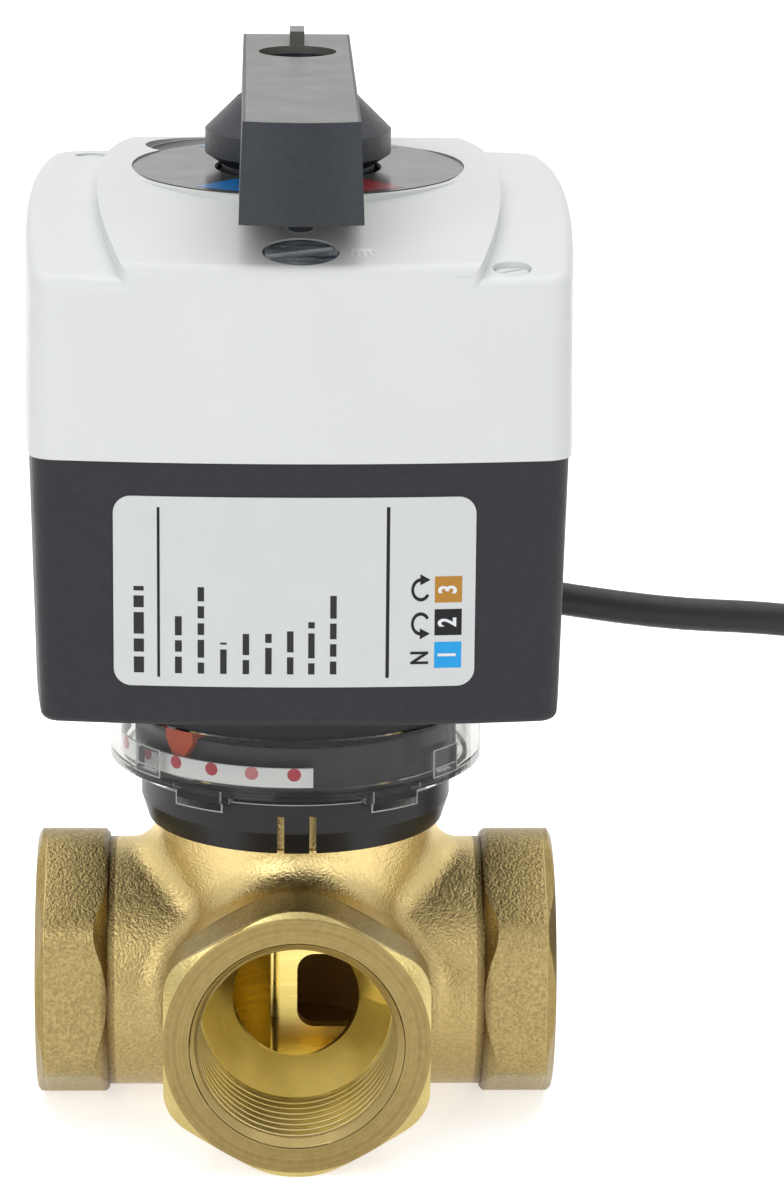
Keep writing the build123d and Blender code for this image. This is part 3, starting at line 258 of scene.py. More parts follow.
def brass_places(made):
    """Factors and lengths that tell the valve body's places apart.

    turned: turned faces, chamfers, bores and the chamber; corner: the groove behind each hexagon, made
    darker;
    radius: from the port's own axis; dull: the flat faces and the side ports' chamfers, rougher and painted
    darker as painted shade;
    shoulder: the upper barrel, painted lighter as a painted highlight; reach: from the valve's axis along the
    port; on_port: the hexagons.
    """
    x, y, z = separate(made)
    z0 = math_node(made, "SUBTRACT", z, STAND_Z / 1000)
    front = math_node(made, "SUBTRACT", SHIFT_Y / 1000, y)
    across = math_node(made, "ABSOLUTE", x)
    side_r, front_r = root_of_squares(made, front, z0), root_of_squares(made, x, z0)
    upright_r = root_of_squares(made, x, front)
    reach = math_node(made, "MAXIMUM", across, front)
    is_side = math_node(made, "GREATER_THAN", across, front)
    radius = blend_float(made, is_side, front_r, side_r)
    on_port = beyond(made, reach, 28.5)
    face = edge(made, reach, PORT_REACH - 0.2, PORT_REACH - 0.1)
    outside_face = edge(made, radius, HEX_FACE_R - 0.05, HEX_FACE_R + 0.05)
    chamfer = product(made, outside_face, edge(made, reach, PORT_REACH - 1.6, PORT_REACH - 1.4), on_port)
    port_bore = product(made, within(made, radius, 17.2), beyond(made, reach, 14.5))
    height = math_node(made, "ABSOLUTE", z0)
    chamber = product(made, within(made, upright_r, 17.8), within(made, height, 16.5))
    turned = face
    for other in (math_node(made, "MULTIPLY", chamfer, 0.7), port_bore, chamber):
        turned = math_node(made, "MAXIMUM", turned, other)
    behind = math_node(made, "ABSOLUTE", math_node(made, "SUBTRACT", reach, 29.6 / 1000))
    corner = product(made, edge(made, behind, 0.2, 1.4, 1.0, 0.0), on_port)
    off_port = math_node(made, "SUBTRACT", 1.0, on_port)
    # painted highlight: the upper barrel is painted lighter, as if lit from above
    shoulder = product(made, edge(made, z0, 10.0, 22.0, 0.0, 0.85), off_port)
    dull = math_node(made, "MAXIMUM", face, product(made, chamfer, is_side))
    return turned, corner, radius, dull, shoulder, reach, on_port


def cast_brass():
    """Sand-cast brass: grainy skin outside, turned faces, chamfers and bores, darker in the grooves; painted
    shade on the hexagons and flat faces, painted highlight on the upper barrel.
    """
    made = material("cast_brass", (0.62, 0.45, 0.17), 0.4, 1.0)
    turned, corner, radius, dull, shoulder, reach, on_port = brass_places(made)
    grit = noise(made, 2300.0, 3.0)
    pits = noise(made, 900.0, 3.0)
    waves = noise(made, 90.0, 2.0)
    skin = mix(made, ramp(made, grit, 0.3, 0.7, 0.0, 1.0), (0.36, 0.272, 0.115), (0.56, 0.435, 0.195))
    skin = mix(made, ramp(made, noise(made, 34.0), 0.35, 0.65, 0.0, 0.4), skin, (0.47, 0.35, 0.135))
    # painted shade: the hexagons' upright flats are mixed darker than the rest of the skin
    hexagon = mix(made, ramp(made, grit, 0.35, 0.65, 0.0, 1.0), (0.22, 0.165, 0.065), (0.4, 0.305, 0.125))
    skin = mix(made, math_node(made, "MULTIPLY", on_port, 0.6), skin, hexagon)
    # painted highlight on the upper barrel
    skin = mix(made, shoulder, skin, (0.86, 0.67, 0.3))
    skin = mix(made, math_node(made, "MULTIPLY", corner, 0.8), skin, (0.13, 0.085, 0.03))
    bright = mix(made, ramp(made, waves, 0.4, 0.6, 0.0, 1.0), (0.58, 0.47, 0.18), (0.72, 0.6, 0.26))
    lathe = add(made, "ShaderNodeCombineXYZ")
    link(made, radius, lathe.inputs[0])
    link(made, reach, lathe.inputs[1])
    rings = add(made, "ShaderNodeTexNoise", Scale=2600.0, Detail=2.0)
    link(made, lathe.outputs[0], rings.inputs["Vector"])
    lined = math_node(made, "MULTIPLY", ramp(made, rings.outputs["Fac"], 0.3, 0.7, 0.0, 1.0), 0.6)
    lined = math_node(made, "ADD", lined, ramp(made, pits, 0.3, 0.7, 0.0, 0.4))
    # painted shade: the port faces and the side ports' chamfers are painted darker; the lathe lines in them
    # are real
    bright = mix(made, dull, bright, mix(made, lined, (0.235, 0.17, 0.062), (0.345, 0.26, 0.103)))
    to_shader(made, mix(made, turned, skin, bright), "Base Color")
    duller = math_node(made, "MULTIPLY", dull, 0.12)
    smooth = math_node(made, "ADD", ramp(made, waves, 0.3, 0.7, 0.2, 0.28), duller)
    rough = blend_float(made, turned, ramp(made, pits, 0.3, 0.7, 0.3, 0.44), smooth)
    to_shader(made, rough, "Roughness")
    raw = math_node(made, "SUBTRACT", 1.0, turned)
    marks = product(made, rings.outputs["Fac"], turned)
    bump(
        made, (product(made, pits, raw), 0.11, 0.6), (product(made, grit, raw), 0.15, 0.9),
        (marks, 0.02, 0.5), (waves, 0.1, 0.12))
    return made


def thread_brass():
    """Freshly cut brass of the threads, duller in the chamfer at the mouth."""
    made = material("cut_brass", (0.68, 0.54, 0.27), 0.24, 1.0)
    x, y, _ = separate(made)
    front = math_node(made, "SUBTRACT", SHIFT_Y / 1000, y)
    reach = math_node(made, "MAXIMUM", math_node(made, "ABSOLUTE", x), front)
    mouth = edge(made, reach, PORT_REACH - 1.6, PORT_REACH - 1.2)
    fresh = mix(made, noise(made, 500.0, 2.0), (0.9, 0.8, 0.5), (0.96, 0.89, 0.62))
    to_shader(made, mix(made, mouth, fresh, (0.4, 0.305, 0.125)), "Base Color")
    to_shader(made, ramp(made, noise(made, 300.0), 0.3, 0.7, 0.3, 0.4), "Roughness")
    bump(made, (noise(made, 700.0, 2.0), 0.006, 0.3))
    return made


def polished_brass():
    """Turned and polished brass of the rotor, rougher and painted dark as painted shade in the closed space
    behind its divider.
    """
    made = material("polished_brass", (0.9, 0.68, 0.22), 0.28, 1.0)
    x, y, z = separate(made)
    behind = edge(made, y, 1.8, 2.4)
    low = edge(made, z, 40.0, 40.5, 1.0, 0.0)
    # painted shade: the closed space behind the divider is painted dark
    cavity_shade = product(made, edge(made, x, 0.3, 0.5), behind, low)
    cloud = noise(made, 70.0, 3.0)
    shine = mix(made, cloud, (0.9, 0.7, 0.2), (0.97, 0.82, 0.34))
    to_shader(made, mix(made, cavity_shade, shine, (0.4, 0.24, 0.085)), "Base Color")
    lines = noise(made, 700.0, 2.0, (0.06, 0.06, 1.0))
    polish = ramp(made, lines, 0.3, 0.7, 0.22, 0.38)
    to_shader(made, math_node(made, "MAXIMUM", polish, math_node(made, "MULTIPLY", cavity_shade, 0.7)), "Roughness")
    bump(made, (lines, 0.01, 0.4), (noise(made, 120.0, 1.0), 0.05, 0.1))
    return made


def clear_plastic():
    made = material("clear_plastic", (0.95, 0.95, 0.94), 0.02, 0.0, IOR=1.27, Transmission_Weight=1.0)
    smoke = add(made, "ShaderNodeVolumeAbsorption", Density=150.0)
    smoke.inputs["Color"].default_value = (0.5, 0.49, 0.47, 1.0)
    link(made, smoke.outputs[0], made.node_tree.nodes["Material Output"].inputs["Volume"])
    smear = noise(made, 240.0, 2.0)
    to_shader(made, ramp(made, smear, 0.35, 0.65, 0.0, 0.05), "Roughness")
    bump(made, (noise(made, 110.0, 2.0), 0.05, 0.2))
    return made


def selector_plastic():
    """Blue-grey gloss with paler streaks and a paler slot across it, both painted reflection."""
    made = material("selector_grey", (0.1, 0.115, 0.135), 0.22)
    x, y, _ = separate(made)
    turn = math.radians(SELECTOR_SLOT_DIR)
    ahead = math_node(made, "MULTIPLY", y, math.cos(turn))
    aside = math_node(made, "MULTIPLY", x, math.sin(turn))
    middle = math_node(made, "ADD", aside, math.cos(turn) * (SHIFT_Y + SELECTOR_Y) / 1000)
    across = math_node(made, "ABSOLUTE", math_node(made, "SUBTRACT", ahead, middle))
    # painted reflection: pale streaks and a pale slot stand in for the white studio mirrored in the gloss
    groove = edge(made, across, 0.5, 0.9, 1.0, 0.0)
    streak_reflection = ramp(made, noise(made, 420.0, 3.0, (0.3, 1.0, 1.0)), 0.35, 0.68, 0.0, 1.0)
    cloud = mix(made, streak_reflection, (0.06, 0.072, 0.09), (0.45, 0.48, 0.51))
    to_shader(made, mix(made, groove, cloud, (0.6, 0.62, 0.65)), "Base Color")
    to_shader(made, ramp(made, noise(made, 500.0), 0.3, 0.7, 0.18, 0.3), "Roughness")
    bump(made, (noise(made, 1300.0, 2.0), 0.012, 0.4), (noise(made, 60.0, 1.0), 0.05, 0.2))
    return made


def rubber_cable():
    """PVC sheath: satin, a faint drawn texture along it and scuffs."""
    made = material("cable_sheath", (0.012, 0.0118, 0.012), 0.42, Specular_IOR_Level=0.35)
    cloud = noise(made, 90.0, 3.0)
    to_shader(made, mix(made, cloud, (0.009, 0.0088, 0.009), (0.018, 0.0175, 0.018)), "Base Color")
    to_shader(made, ramp(made, noise(made, 500.0), 0.3, 0.7, 0.36, 0.5), "Roughness")
    bump(made, (noise(made, 900.0, 2.0), 0.012, 0.4), (noise(made, 150.0, 1.0), 0.06, 0.15))
    return made


def printed(name, color, rough=0.35, **inputs):
    """Printing ink or a label's film, with a trace of unevenness."""
    made = material(name, color, rough, **inputs)
    cloud = noise(made, 220.0, 2.0)
    darker = tuple(c * 0.94 for c in color)
    to_shader(made, mix(made, cloud, darker, color), "Base Color")
    bump(made, (noise(made, 1800.0, 2.0), 0.004, 0.3))
    return made


def enamel_winding():
    """Copper wire in enamel, its turns shown as ribs up the winding."""
    made = metal("enamel_winding", (0.62, 0.27, 0.1), 0.32)
    rings = add(made, "ShaderNodeTexWave", wave_type="BANDS", bands_direction="Z", Scale=420.0)
    link(made, object_coords(made), rings.inputs["Vector"])
    bump(made, (rings.outputs["Fac"], 0.12, 0.6))
    return made


MAT = {
    "brass": cast_brass(),
    "thread": thread_brass(),
    "rotor": polished_brass(),
    "steel": metal("zinc_steel", (0.58, 0.58, 0.59), 0.33),
    "bronze": metal("sintered_bronze", (0.5, 0.33, 0.14), 0.45),
    "copper": enamel_winding(),
    "magnet": plastic("ferrite", (0.035, 0.035, 0.038), 0.5, 700.0, 0.03),
    "white": plastic("cover_white", (0.685, 0.706, 0.686), 0.38, 1500.0, 0.012),
    # painted highlight: paler white for the raised hand sign and the index ring's rim
    "raised": plastic("highlight_white", (0.86, 0.88, 0.865), 0.3, 1500.0, 0.01),
    "index": plastic("index_grey", (0.3, 0.31, 0.32), 0.2),
    "charcoal": plastic(
        "base_charcoal", (0.019, 0.018, 0.023), 0.5, 1100.0, 0.07, 0.3, Specular_IOR_Level=0.3),
    "handle": plastic(
        "handle_grey", (0.017, 0.021, 0.027), 0.38, 1000.0, 0.09, 0.25, Specular_IOR_Level=0.4),
    "plate": plastic("handle_plate", (0.11, 0.112, 0.1), 0.34, 2200.0, 0.006),
    "dial": plastic("dial_film", (0.05, 0.052, 0.05), 0.2, 2500.0, 0.004),
    "black": plastic("black_plastic", (0.01, 0.0095, 0.0105), 0.36, 1200.0, 0.02, Specular_IOR_Level=0.35),
    "selector": selector_plastic(),
    "orange": plastic("pointer_orange", (0.62, 0.075, 0.008), 0.4, Specular_IOR_Level=0.2),
    "clear": clear_plastic(),
    "tongue": material("clip_tongue", (0.42, 0.42, 0.41), 0.12, 0.0, IOR=1.2, Transmission_Weight=0.75),
    # painted highlight: pale half-clear strips laid along the clear ring's edges as its glints
    "glint": material("painted_glint_edge", (0.6, 0.61, 0.61), 0.15, 0.0, IOR=1.4, Transmission_Weight=0.35),
    "band": printed("scale_strip", (0.94, 0.95, 0.96)),
    "label": printed("label_film", (0.64, 0.66, 0.66), 0.42),
    "gear": plastic("acetal", (0.74, 0.72, 0.64), 0.38, 900.0, 0.01),
    "seal": plastic("seal_rubber", (0.02, 0.02, 0.02), 0.55, 900.0, 0.02),
    "board": plastic("circuit_resist", (0.03, 0.16, 0.08), 0.35, 900.0, 0.01),
    "terminal": plastic("terminal_green", (0.05, 0.22, 0.1), 0.4),
    "sheath": rubber_cable(),
    "core": plastic("core_blue", (0.05, 0.12, 0.32), 0.4),
    "ink": printed("ink_black", (0.02, 0.02, 0.022), 0.4, Specular_IOR_Level=0.12),
    "ink_soft": printed("ink_grey", (0.035, 0.035, 0.038), 0.45, Specular_IOR_Level=0.12),
    "ink_blue": printed("ink_blue", (0.03, 0.36, 0.78), 0.4, Specular_IOR_Level=0.12),
    "ink_ochre": printed("ink_ochre", (0.48, 0.235, 0.045), 0.4, Specular_IOR_Level=0.12),
    "ink_white": printed("ink_white", (0.78, 0.8, 0.82), 0.4),
    "dial_blue": printed("dial_blue", (0.012, 0.17, 0.47), 0.25),
    "dial_red": printed("dial_red", (0.27, 0.03, 0.04), 0.25),
    "crimson": printed("ink_crimson", (0.55, 0.02, 0.05), 0.4),
    "pink": printed("ink_pink", (0.7, 0.22, 0.24), 0.4),
}

NODE_LOOK = {
    "brass": ["valve_body"],
    "rotor": ["valve_rotor", "bonnet"],
    "steel": [
        "bonnet_circlip", "handle_screw", "clutch_lever", "lever_pin", "motor_can", "motor_screws",
        "output_shaft", "gear_arbors", "lower_gear_plate", "upper_gear_plate", "plate_pillars",
        "plate_screws", "clamp_screws",
    ],
    "bronze": ["motor_pinion", "shaft_bushes"],
    "copper": ["motor_coil"],
    "magnet": ["motor_rotor"],
    "white": ["housing_cover", "cover_screws"],
    "charcoal": ["housing_base"],
    "handle": ["handle"],
    "plate": ["handle_top_plate"],
    "dial": ["scale_dial"],
    "black": ["adapter_ring", "limit_cams", "limit_switches", "motor_capacitor", "cable_bush", "cable_clamp"],
    "selector": ["selector_button"],
    "orange": ["pointer"],
    "clear": ["scale_ring"],
    "band": ["scale_band"],
    "label": ["rating_label"],
    "gear": ["output_gear", "intermediate_gear_1", "intermediate_gear_2"],
    "seal": ["bonnet_seal", "stem_seals"],
    "board": ["circuit_board"],
    "terminal": ["terminal_block"],
    "sheath": ["mains_cable", "cable_coil"],
    "core": ["inner_cores", "cable_end"],
}
for look, names in NODE_LOOK.items():
    for name in names:
        for slot in nodes[name].material_slots:
            slot.material = MAT[look]


# ---------------------------------------------------------------- mesh helpers
def mesh_piece(name, verts, faces, look, body, smooth=False):
    """Piece made of points and faces, with one material, that rides a body."""
    data = bpy.data.meshes.new(name)
    data.from_pydata([tuple(v) for v in verts], [], faces)
    data.validate()
    data.materials.append(MAT[look])
    for polygon in data.polygons:
        polygon.use_smooth = smooth
    made = bpy.data.objects.new(name, data)
    scene.collection.objects.link(made)
    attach(made, body)


def join_pairs(faces, base, steps):
    """Strip of quads between the pairs of points that start at base."""
    for step in range(steps):
        a = base + 2 * step
        faces.append((a, a + 2, a + 3, a + 1))


# ---------------------------------------------------------------- mains cable
CABLE_D = 5.2
COIL_X, COIL_Y = 115.4, 46.2
COIL_PITCH = 5.3
COIL_LAYERS = 6
COIL_OUTER, COIL_INNER = 27.3, 22.0               # centre lines of the two rows of turns
COIL_START = -30.0           # direction from which the steps are counted
MOVE_IN, MOVE_TIME = 5.5, 0.25                    # in turns: when and how fast the row changes
STEPS = 16                   # points in a turn
LAST_STEP = 194              # 12.1 turns
LOOSE_WAY = [
    (29.6, 4.0, 61.3), (54.1, 4.0, 56.8), (79.0, 3.9, 56.0), (97.5, 4.3, 52.4), (112.5, 8.0, 42.0),
    (124.5, 14.5, 28.2), (133.3, 22.4, 16.4), (139.6, 31.6, 9.3),
]


def level(turn, first, last):
    """Height in turns of a coil that climbs only between two fractions of each turn."""
    whole = math.floor(turn)
    return whole + min(1.0, max(0.0, (turn - whole - first) / (last - first)))


def cable_route():
    """Listed loose stretch, then the outer turns down and the inner turns back up."""
    points = list(LOOSE_WAY)
    swell = 1 / math.cos(math.pi / STEPS)
    floor_z = -STAND_Z + COIL_PITCH / 2
    top = COIL_LAYERS - 1
    for number in range(1, LAST_STEP + 1):
        turn = number / STEPS
        inward = min(1.0, max(0.0, (turn - MOVE_IN) / MOVE_TIME))
        radius = COIL_OUTER + (COIL_INNER - COIL_OUTER) * inward
        if turn < MOVE_IN + MOVE_TIME:
            height = top - min(top, level(turn, 0.75, 1.0))
        else:
            height = max(0.0, level(turn - COIL_LAYERS, 0.25, 0.5))
        x, y = polar(radius * swell, COIL_START + 360 * turn, COIL_X, COIL_Y)
        points.append((x, y, floor_z + height * COIL_PITCH))
    return points


def make_cable():
    data = bpy.data.curves.new("mains_lead", "CURVE")
    data.dimensions = "3D"
    spline = data.splines.new("NURBS")
    points = cable_route()
    spline.points.add(len(points) - 1)
    for control, point in zip(spline.points, points):
        control.co = (*at(*point), 1.0)
    spline.order_u = 3
    spline.use_endpoint_u = True
    spline.resolution_u = 6
    data.bevel_depth = CABLE_D / 2000
    data.bevel_resolution = 5
    data.use_fill_caps = True
    data.materials.append(MAT["sheath"])
    lead = bpy.data.objects.new("mains_lead", data)
    scene.collection.objects.link(lead)
    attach(lead, "valve")
    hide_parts("mains_cable", "cable_coil")


make_camera()
make_cable()


# ---------------------------------------------------------------- port threads
THREAD_PITCH = 2.309
THREAD_CREST = 15.15
THREAD_GROOVE = 0.9          # depth of the groove below the crests
THREAD_END = 23.2            # where the thread stops, from the valve's centre
MOUTH_STEP = 0.12            # how far inside the bore wall the mouth's 45 degree chamfer starts
TUBE_R, TUBE_STEP = 17.0, 0.02                    # closing tube in the casting's wall


def thread(name, place):
    """Female thread lining one port: a helical groove between crests, chamfered at the mouth."""
    around, rows = 120, 10
    length = PORT_REACH - THREAD_END
    shape = [THREAD_CREST + THREAD_GROOVE] + [THREAD_CREST] * (rows - 1)
    count = int(length / THREAD_PITCH + 1) * rows + rows
    verts, faces = [], []
    for step in range(around + 1):
        angle = 360 * step / around
        for row in range(count + 1):
            depth = (row / rows - 1 + step / around) * THREAD_PITCH
            depth = min(max(depth, 0.0), length)
            radius = max(shape[row % rows], THREAD_ROOT - MOUTH_STEP - depth)
            if depth >= length:
                radius = THREAD_ROOT + TUBE_STEP
            verts.append((*polar(radius, angle), PORT_REACH - depth))
    line = count + 1
    for step in range(around):
        for row in range(count):
            a = step * line + row
            faces.append((a, a + 1, a + line + 1, a + line))
    base = len(verts)
    for step in range(around + 1):
        for z in (PORT_REACH - TUBE_STEP, THREAD_END):
            verts.append((*polar(TUBE_R, 360 * step / around), z))
    join_pairs(faces, base, around)
    mesh_piece(name, [at(*place(*vert)) for vert in verts], faces, "thread", "valve", True)


thread("thread_front", lambda x, y, z: (x, -z, y))
thread("thread_right", lambda x, y, z: (z, x, y))
thread("thread_left", lambda x, y, z: (-z, x, -y))


# ---------------------------------------------------------------- prints on the rating label
PRINT_LIFT, TEXT_LIFT = 0.03, 0.06                # off the label's face
PRINT_CUT = 2.5              # longest piece of a print that is bent with the label
WORDS_FOOT, WORD_GAP = 63.1, 0.75
FIELD_X, FIELD_HALF = 21.75, 2.0                  # column of numbered fields
SIGN_X = 17.7                # column of the N and the turn arrows


def label_point(x, z, lift):
    """Point on the bowed, drafted label, lift in millimetres off its face."""
    inset = BASE_INSET - LABEL_T + math.tan(math.radians(BASE_DRAFT)) * (PARTING_Z - z)
    half = HOUSING_W / 2 - SIDE_BULGE - inset
    bend = (half**2 + FRONT_BULGE**2) / (2 * FRONT_BULGE)
    y = HOUSING_FRONT + inset + bend - math.sqrt(bend**2 - x**2)
    return at(x, y - lift, z)


def label_rects(name, rects, look):
    """Flat printed rectangles (x0, x1, z0, z1), bent with the label."""
    verts, faces = [], []
    for x0, x1, z0, z1 in rects:
        cuts = max(1, int(abs(x1 - x0) / PRINT_CUT))
        for cut in range(cuts + 1):
            x = x0 + (x1 - x0) * cut / cuts
            verts += [label_point(x, z0, PRINT_LIFT), label_point(x, z1, PRINT_LIFT)]
        join_pairs(faces, len(verts) - 2 * (cuts + 1), cuts)
    mesh_piece(name, verts, faces, look, "valve")


def label_text(name, text, x, z, size, look):
    """Plain sans character turned a quarter left, made narrower and centred on (x, z)."""
    narrow = 0.78
    curve = bpy.data.curves.new(name, "FONT")
    curve.body = text
    curve.size = size
    curve.align_x = "CENTER"
    curve.align_y = "CENTER"
    curve.offset = 0.09
    curve.resolution_u = 4
    flat = bpy.data.objects.new(name + "_flat", curve)
    shape = bpy.data.meshes.new_from_object(flat)
    verts = [label_point(x - v.co.y, z + narrow * v.co.x, TEXT_LIFT) for v in shape.vertices]
    faces = [tuple(p.vertices) for p in shape.polygons]
    bpy.data.objects.remove(flat)
    mesh_piece(name, verts, faces, look, "valve")


def label_words():
    """Columns of bars (x, width, top) in place of words, of lengths drawn by chance."""
    seeded = random.Random(7)
    words = []
    columns = [
        (-23.6, 1.5, 76.3), (-17.8, 1.0, 72.3), (-14.5, 0.95, 76.3), (-11.2, 0.95, 67.9), (-7.9, 0.95, 69.9),
        (-4.6, 0.95, 69.3), (-1.4, 0.95, 69.7), (1.7, 0.95, 71.1), (4.9, 0.95, 75.1),
    ]
    for x, width, top in columns:
        z = WORDS_FOOT
        while z < top:
            length = seeded.uniform(1.6, 4.2)
            words.append((x - width / 2, x + width / 2, z, min(z + length, top)))
            z += length + WORD_GAP
    label_rects("label_lines", words, "ink_soft")


def label_arrows():
    """Two open circles with arrow heads, one for each way of turning."""
    verts, faces = [], []
    tall, turns = 1.25, 20

    def arrow_point(centre, aside, up, lift):
        return label_point(SIGN_X + aside, centre + tall * up, lift)

    for centre, start, sweep in ((70.7, -60, 240), (75.9, 240, -240)):
        for step in range(turns + 1):
            angle = math.radians(start + sweep * step / turns)
            for radius in (1.0, 1.42):
                verts.append(arrow_point(
                    centre, -radius * math.sin(angle), radius * math.cos(angle), PRINT_LIFT))
        join_pairs(faces, len(verts) - 2 * (turns + 1), turns)
        angle = math.radians(start + sweep)
        way = 1 if sweep > 0 else -1
        tip = (-math.sin(angle), math.cos(angle))
        along = (-math.cos(angle) * way, -math.sin(angle) * way)
        base = len(verts)
        for radial, ahead in ((0.55, -0.1), (1.9, -0.1), (1.2, 1.4)):
            aside, up = radial * tip[0] + ahead * along[0], radial * tip[1] + ahead * along[1]
            verts.append(arrow_point(centre, aside, up, PRINT_LIFT + 0.005))
        faces.append((base, base + 1, base + 2))
    mesh_piece("label_arrows", verts, faces, "ink", "valve")


def make_label():
    label_rects("label_rules", [(-20.9, -20.5, 62.5, 88.3), (12.6, 13.1, 62.5, 88.5)], "ink")
    label_words()
    for z, number, look in ((65.9, 1, "ink_blue"), (70.9, 2, "ink"), (75.9, 3, "ink_ochre")):
        field = (FIELD_X - FIELD_HALF, FIELD_X + FIELD_HALF, z - FIELD_HALF, z + FIELD_HALF)
        label_rects("label_field_%d" % number, [field], look)
        label_text("label_number_%d" % number, str(number), FIELD_X, z, 3.7, "ink_white")
    label_text("label_neutral", "N", SIGN_X, 65.5, 3.6, "ink")
    label_arrows()


make_label()


# ---------------------------------------------------------------- dial print
DIAL_PRINT_R = (15.2, 24.3)
DIAL_PRINT_Z = 129.23


def sector(name, spans, look):
    """Printed fields on the dial between pairs of polar angles."""
    verts, faces = [], []
    steps = 18
    for start, end in spans:
        for step in range(steps + 1):
            angle = start + (end - start) * step / steps
            for radius in DIAL_PRINT_R:
                verts.append(at(*polar(radius, angle), DIAL_PRINT_Z))
        join_pairs(faces, len(verts) - 2 * (steps + 1), steps)
    mesh_piece(name, verts, faces, look, "valve")


sector("dial_cold", [(-130, -90), (90, 130)], "dial_blue")
sector("dial_hot", [(-90, -49), (49, 90)], "dial_red")


# ---------------------------------------------------------------- small things on the cover
NOTCH_AT, NOTCH_Z, NOTCH_R = (-10.5, 21.5), 127.83, 13.3
INDEX_Y = -38.8              # small ring between the dial and the selector
PALM_Y = -48.1


def disc(name, x, y, z, radius, look, inner=0.0, tilt=0.0):
    """Flat disc or ring lying on the cover, rising by tilt along Y."""
    verts, faces = [], []
    steps = 48
    for step in range(steps):
        for r in (inner, radius):
            px, py = polar(r, 360 * step / steps, x, y)
            verts.append(at(px, py, z + tilt * (py - y)))
    for step in range(steps):
        a, b = 2 * step, 2 * ((step + 1) % steps)
        faces.append((a, a + 1, b + 1, b))
    mesh_piece(name, verts, faces, look, "valve")


def crown(y):
    """Height of the cover's arched top."""
    return CROWN_Z - CROWN_R + math.sqrt(CROWN_R**2 - (y - CROWN_Y) ** 2)


def hand_sign():
    """Small raised open hand beside the selector, a common sign for working by hand, laid flat and painted
    paler than the cover as a painted highlight.
    """
    verts, faces = [], []

    def stroke(x0, y0, x1, y1, wide):
        along = Vector((x1 - x0, y1 - y0)).normalized()
        side = Vector((-along.y, along.x)) * wide / 2
        base = len(verts)
        for x, y in ((x0, y0), (x1, y1)):
            for sign in (-1, 1):
                px, py = x + sign * side.x, y + sign * side.y
                verts.append(at(px, py, crown(py) + 0.06))
        faces.append((base, base + 2, base + 3, base + 1))

    finger = 0.42
    for number, (lean, length) in enumerate(((-0.5, 1.7), (-0.15, 2.2), (0.2, 2.2), (0.55, 1.8))):
        x = 7.7 + 0.75 * number
        stroke(x, SELECTOR_Y, x + lean, SELECTOR_Y - length, finger)
    stroke(7.4, PALM_Y, 10.3, PALM_Y, 1.2)
    stroke(10.2, PALM_Y + 0.1, 11.3, PALM_Y - 1.0, finger)
    mesh_piece("hand_sign", verts, faces, "raised", "valve")


hand_sign()
disc("notch_shade", *NOTCH_AT, NOTCH_Z, NOTCH_R, "black")
slope = (CROWN_Y - INDEX_Y) / CROWN_R
disc("index_pit", 0.0, INDEX_Y, crown(INDEX_Y) + 0.04, 1.8, "index", 0.0, slope)
# painted highlight: the index ring's rim is a flat ring painted pale
disc("index_rim", 0.0, INDEX_Y, crown(INDEX_Y) + 0.07, 2.4, "raised", 1.8, slope)


# ---------------------------------------------------------------- lower edge and clips of the clear ring
RING_R = 29.54
SKIRT_R, SKIRT_T = 27.4, 0.8
SKIRT_LOW, SKIRT_TOP, TAB_LOW = 34.3, 35.95, 32.4
CLIPS = (-124.0, -56.0, 56.0, 124.0)
TAB_HALF = 9.2               # degrees
WINDOWS = (-142.0, -38.0, 38.0, 142.0)
WINDOW_HALF = 6.2            # degrees
WINDOW_LOW, WINDOW_TOP = 36.6, 41.2
# the bright edges are painted glints
LINE, LINE_DEG = 0.22, 0.55  # width of a bright edge, along Z and round the ring


def arc_patch(verts, faces, start, end, z0, z1, radius):
    """Upright strip of a cylinder between two angles and two heights."""
    steps = max(1, int(abs(end - start) / 1.5))
    base = len(verts)
    for step in range(steps + 1):
        angle = start + (end - start) * step / steps
        for z in (z0, z1):
            verts.append(at(*polar(radius, angle), z))
    join_pairs(faces, base, steps)


def arc_wall(verts, faces, start, end, z0, z1, r0, r1):
    """Closed curved wall between two angles, heights and radii."""
    steps = max(1, int(abs(end - start) / 2.5))
    base = len(verts)
    for step in range(steps + 1):
        angle = start + (end - start) * step / steps
        for radius, z in ((r0, z0), (r1, z0), (r1, z1), (r0, z1)):
            verts.append(at(*polar(radius, angle), z))
    for step in range(steps):
        a = base + 4 * step
        for k in range(4):
            n = (k + 1) % 4
            faces.append((a + k, a + n, a + 4 + n, a + 4 + k))
    faces.append((base + 3, base + 2, base + 1, base))
    a = base + 4 * steps
    faces.append((a, a + 1, a + 2, a + 3))


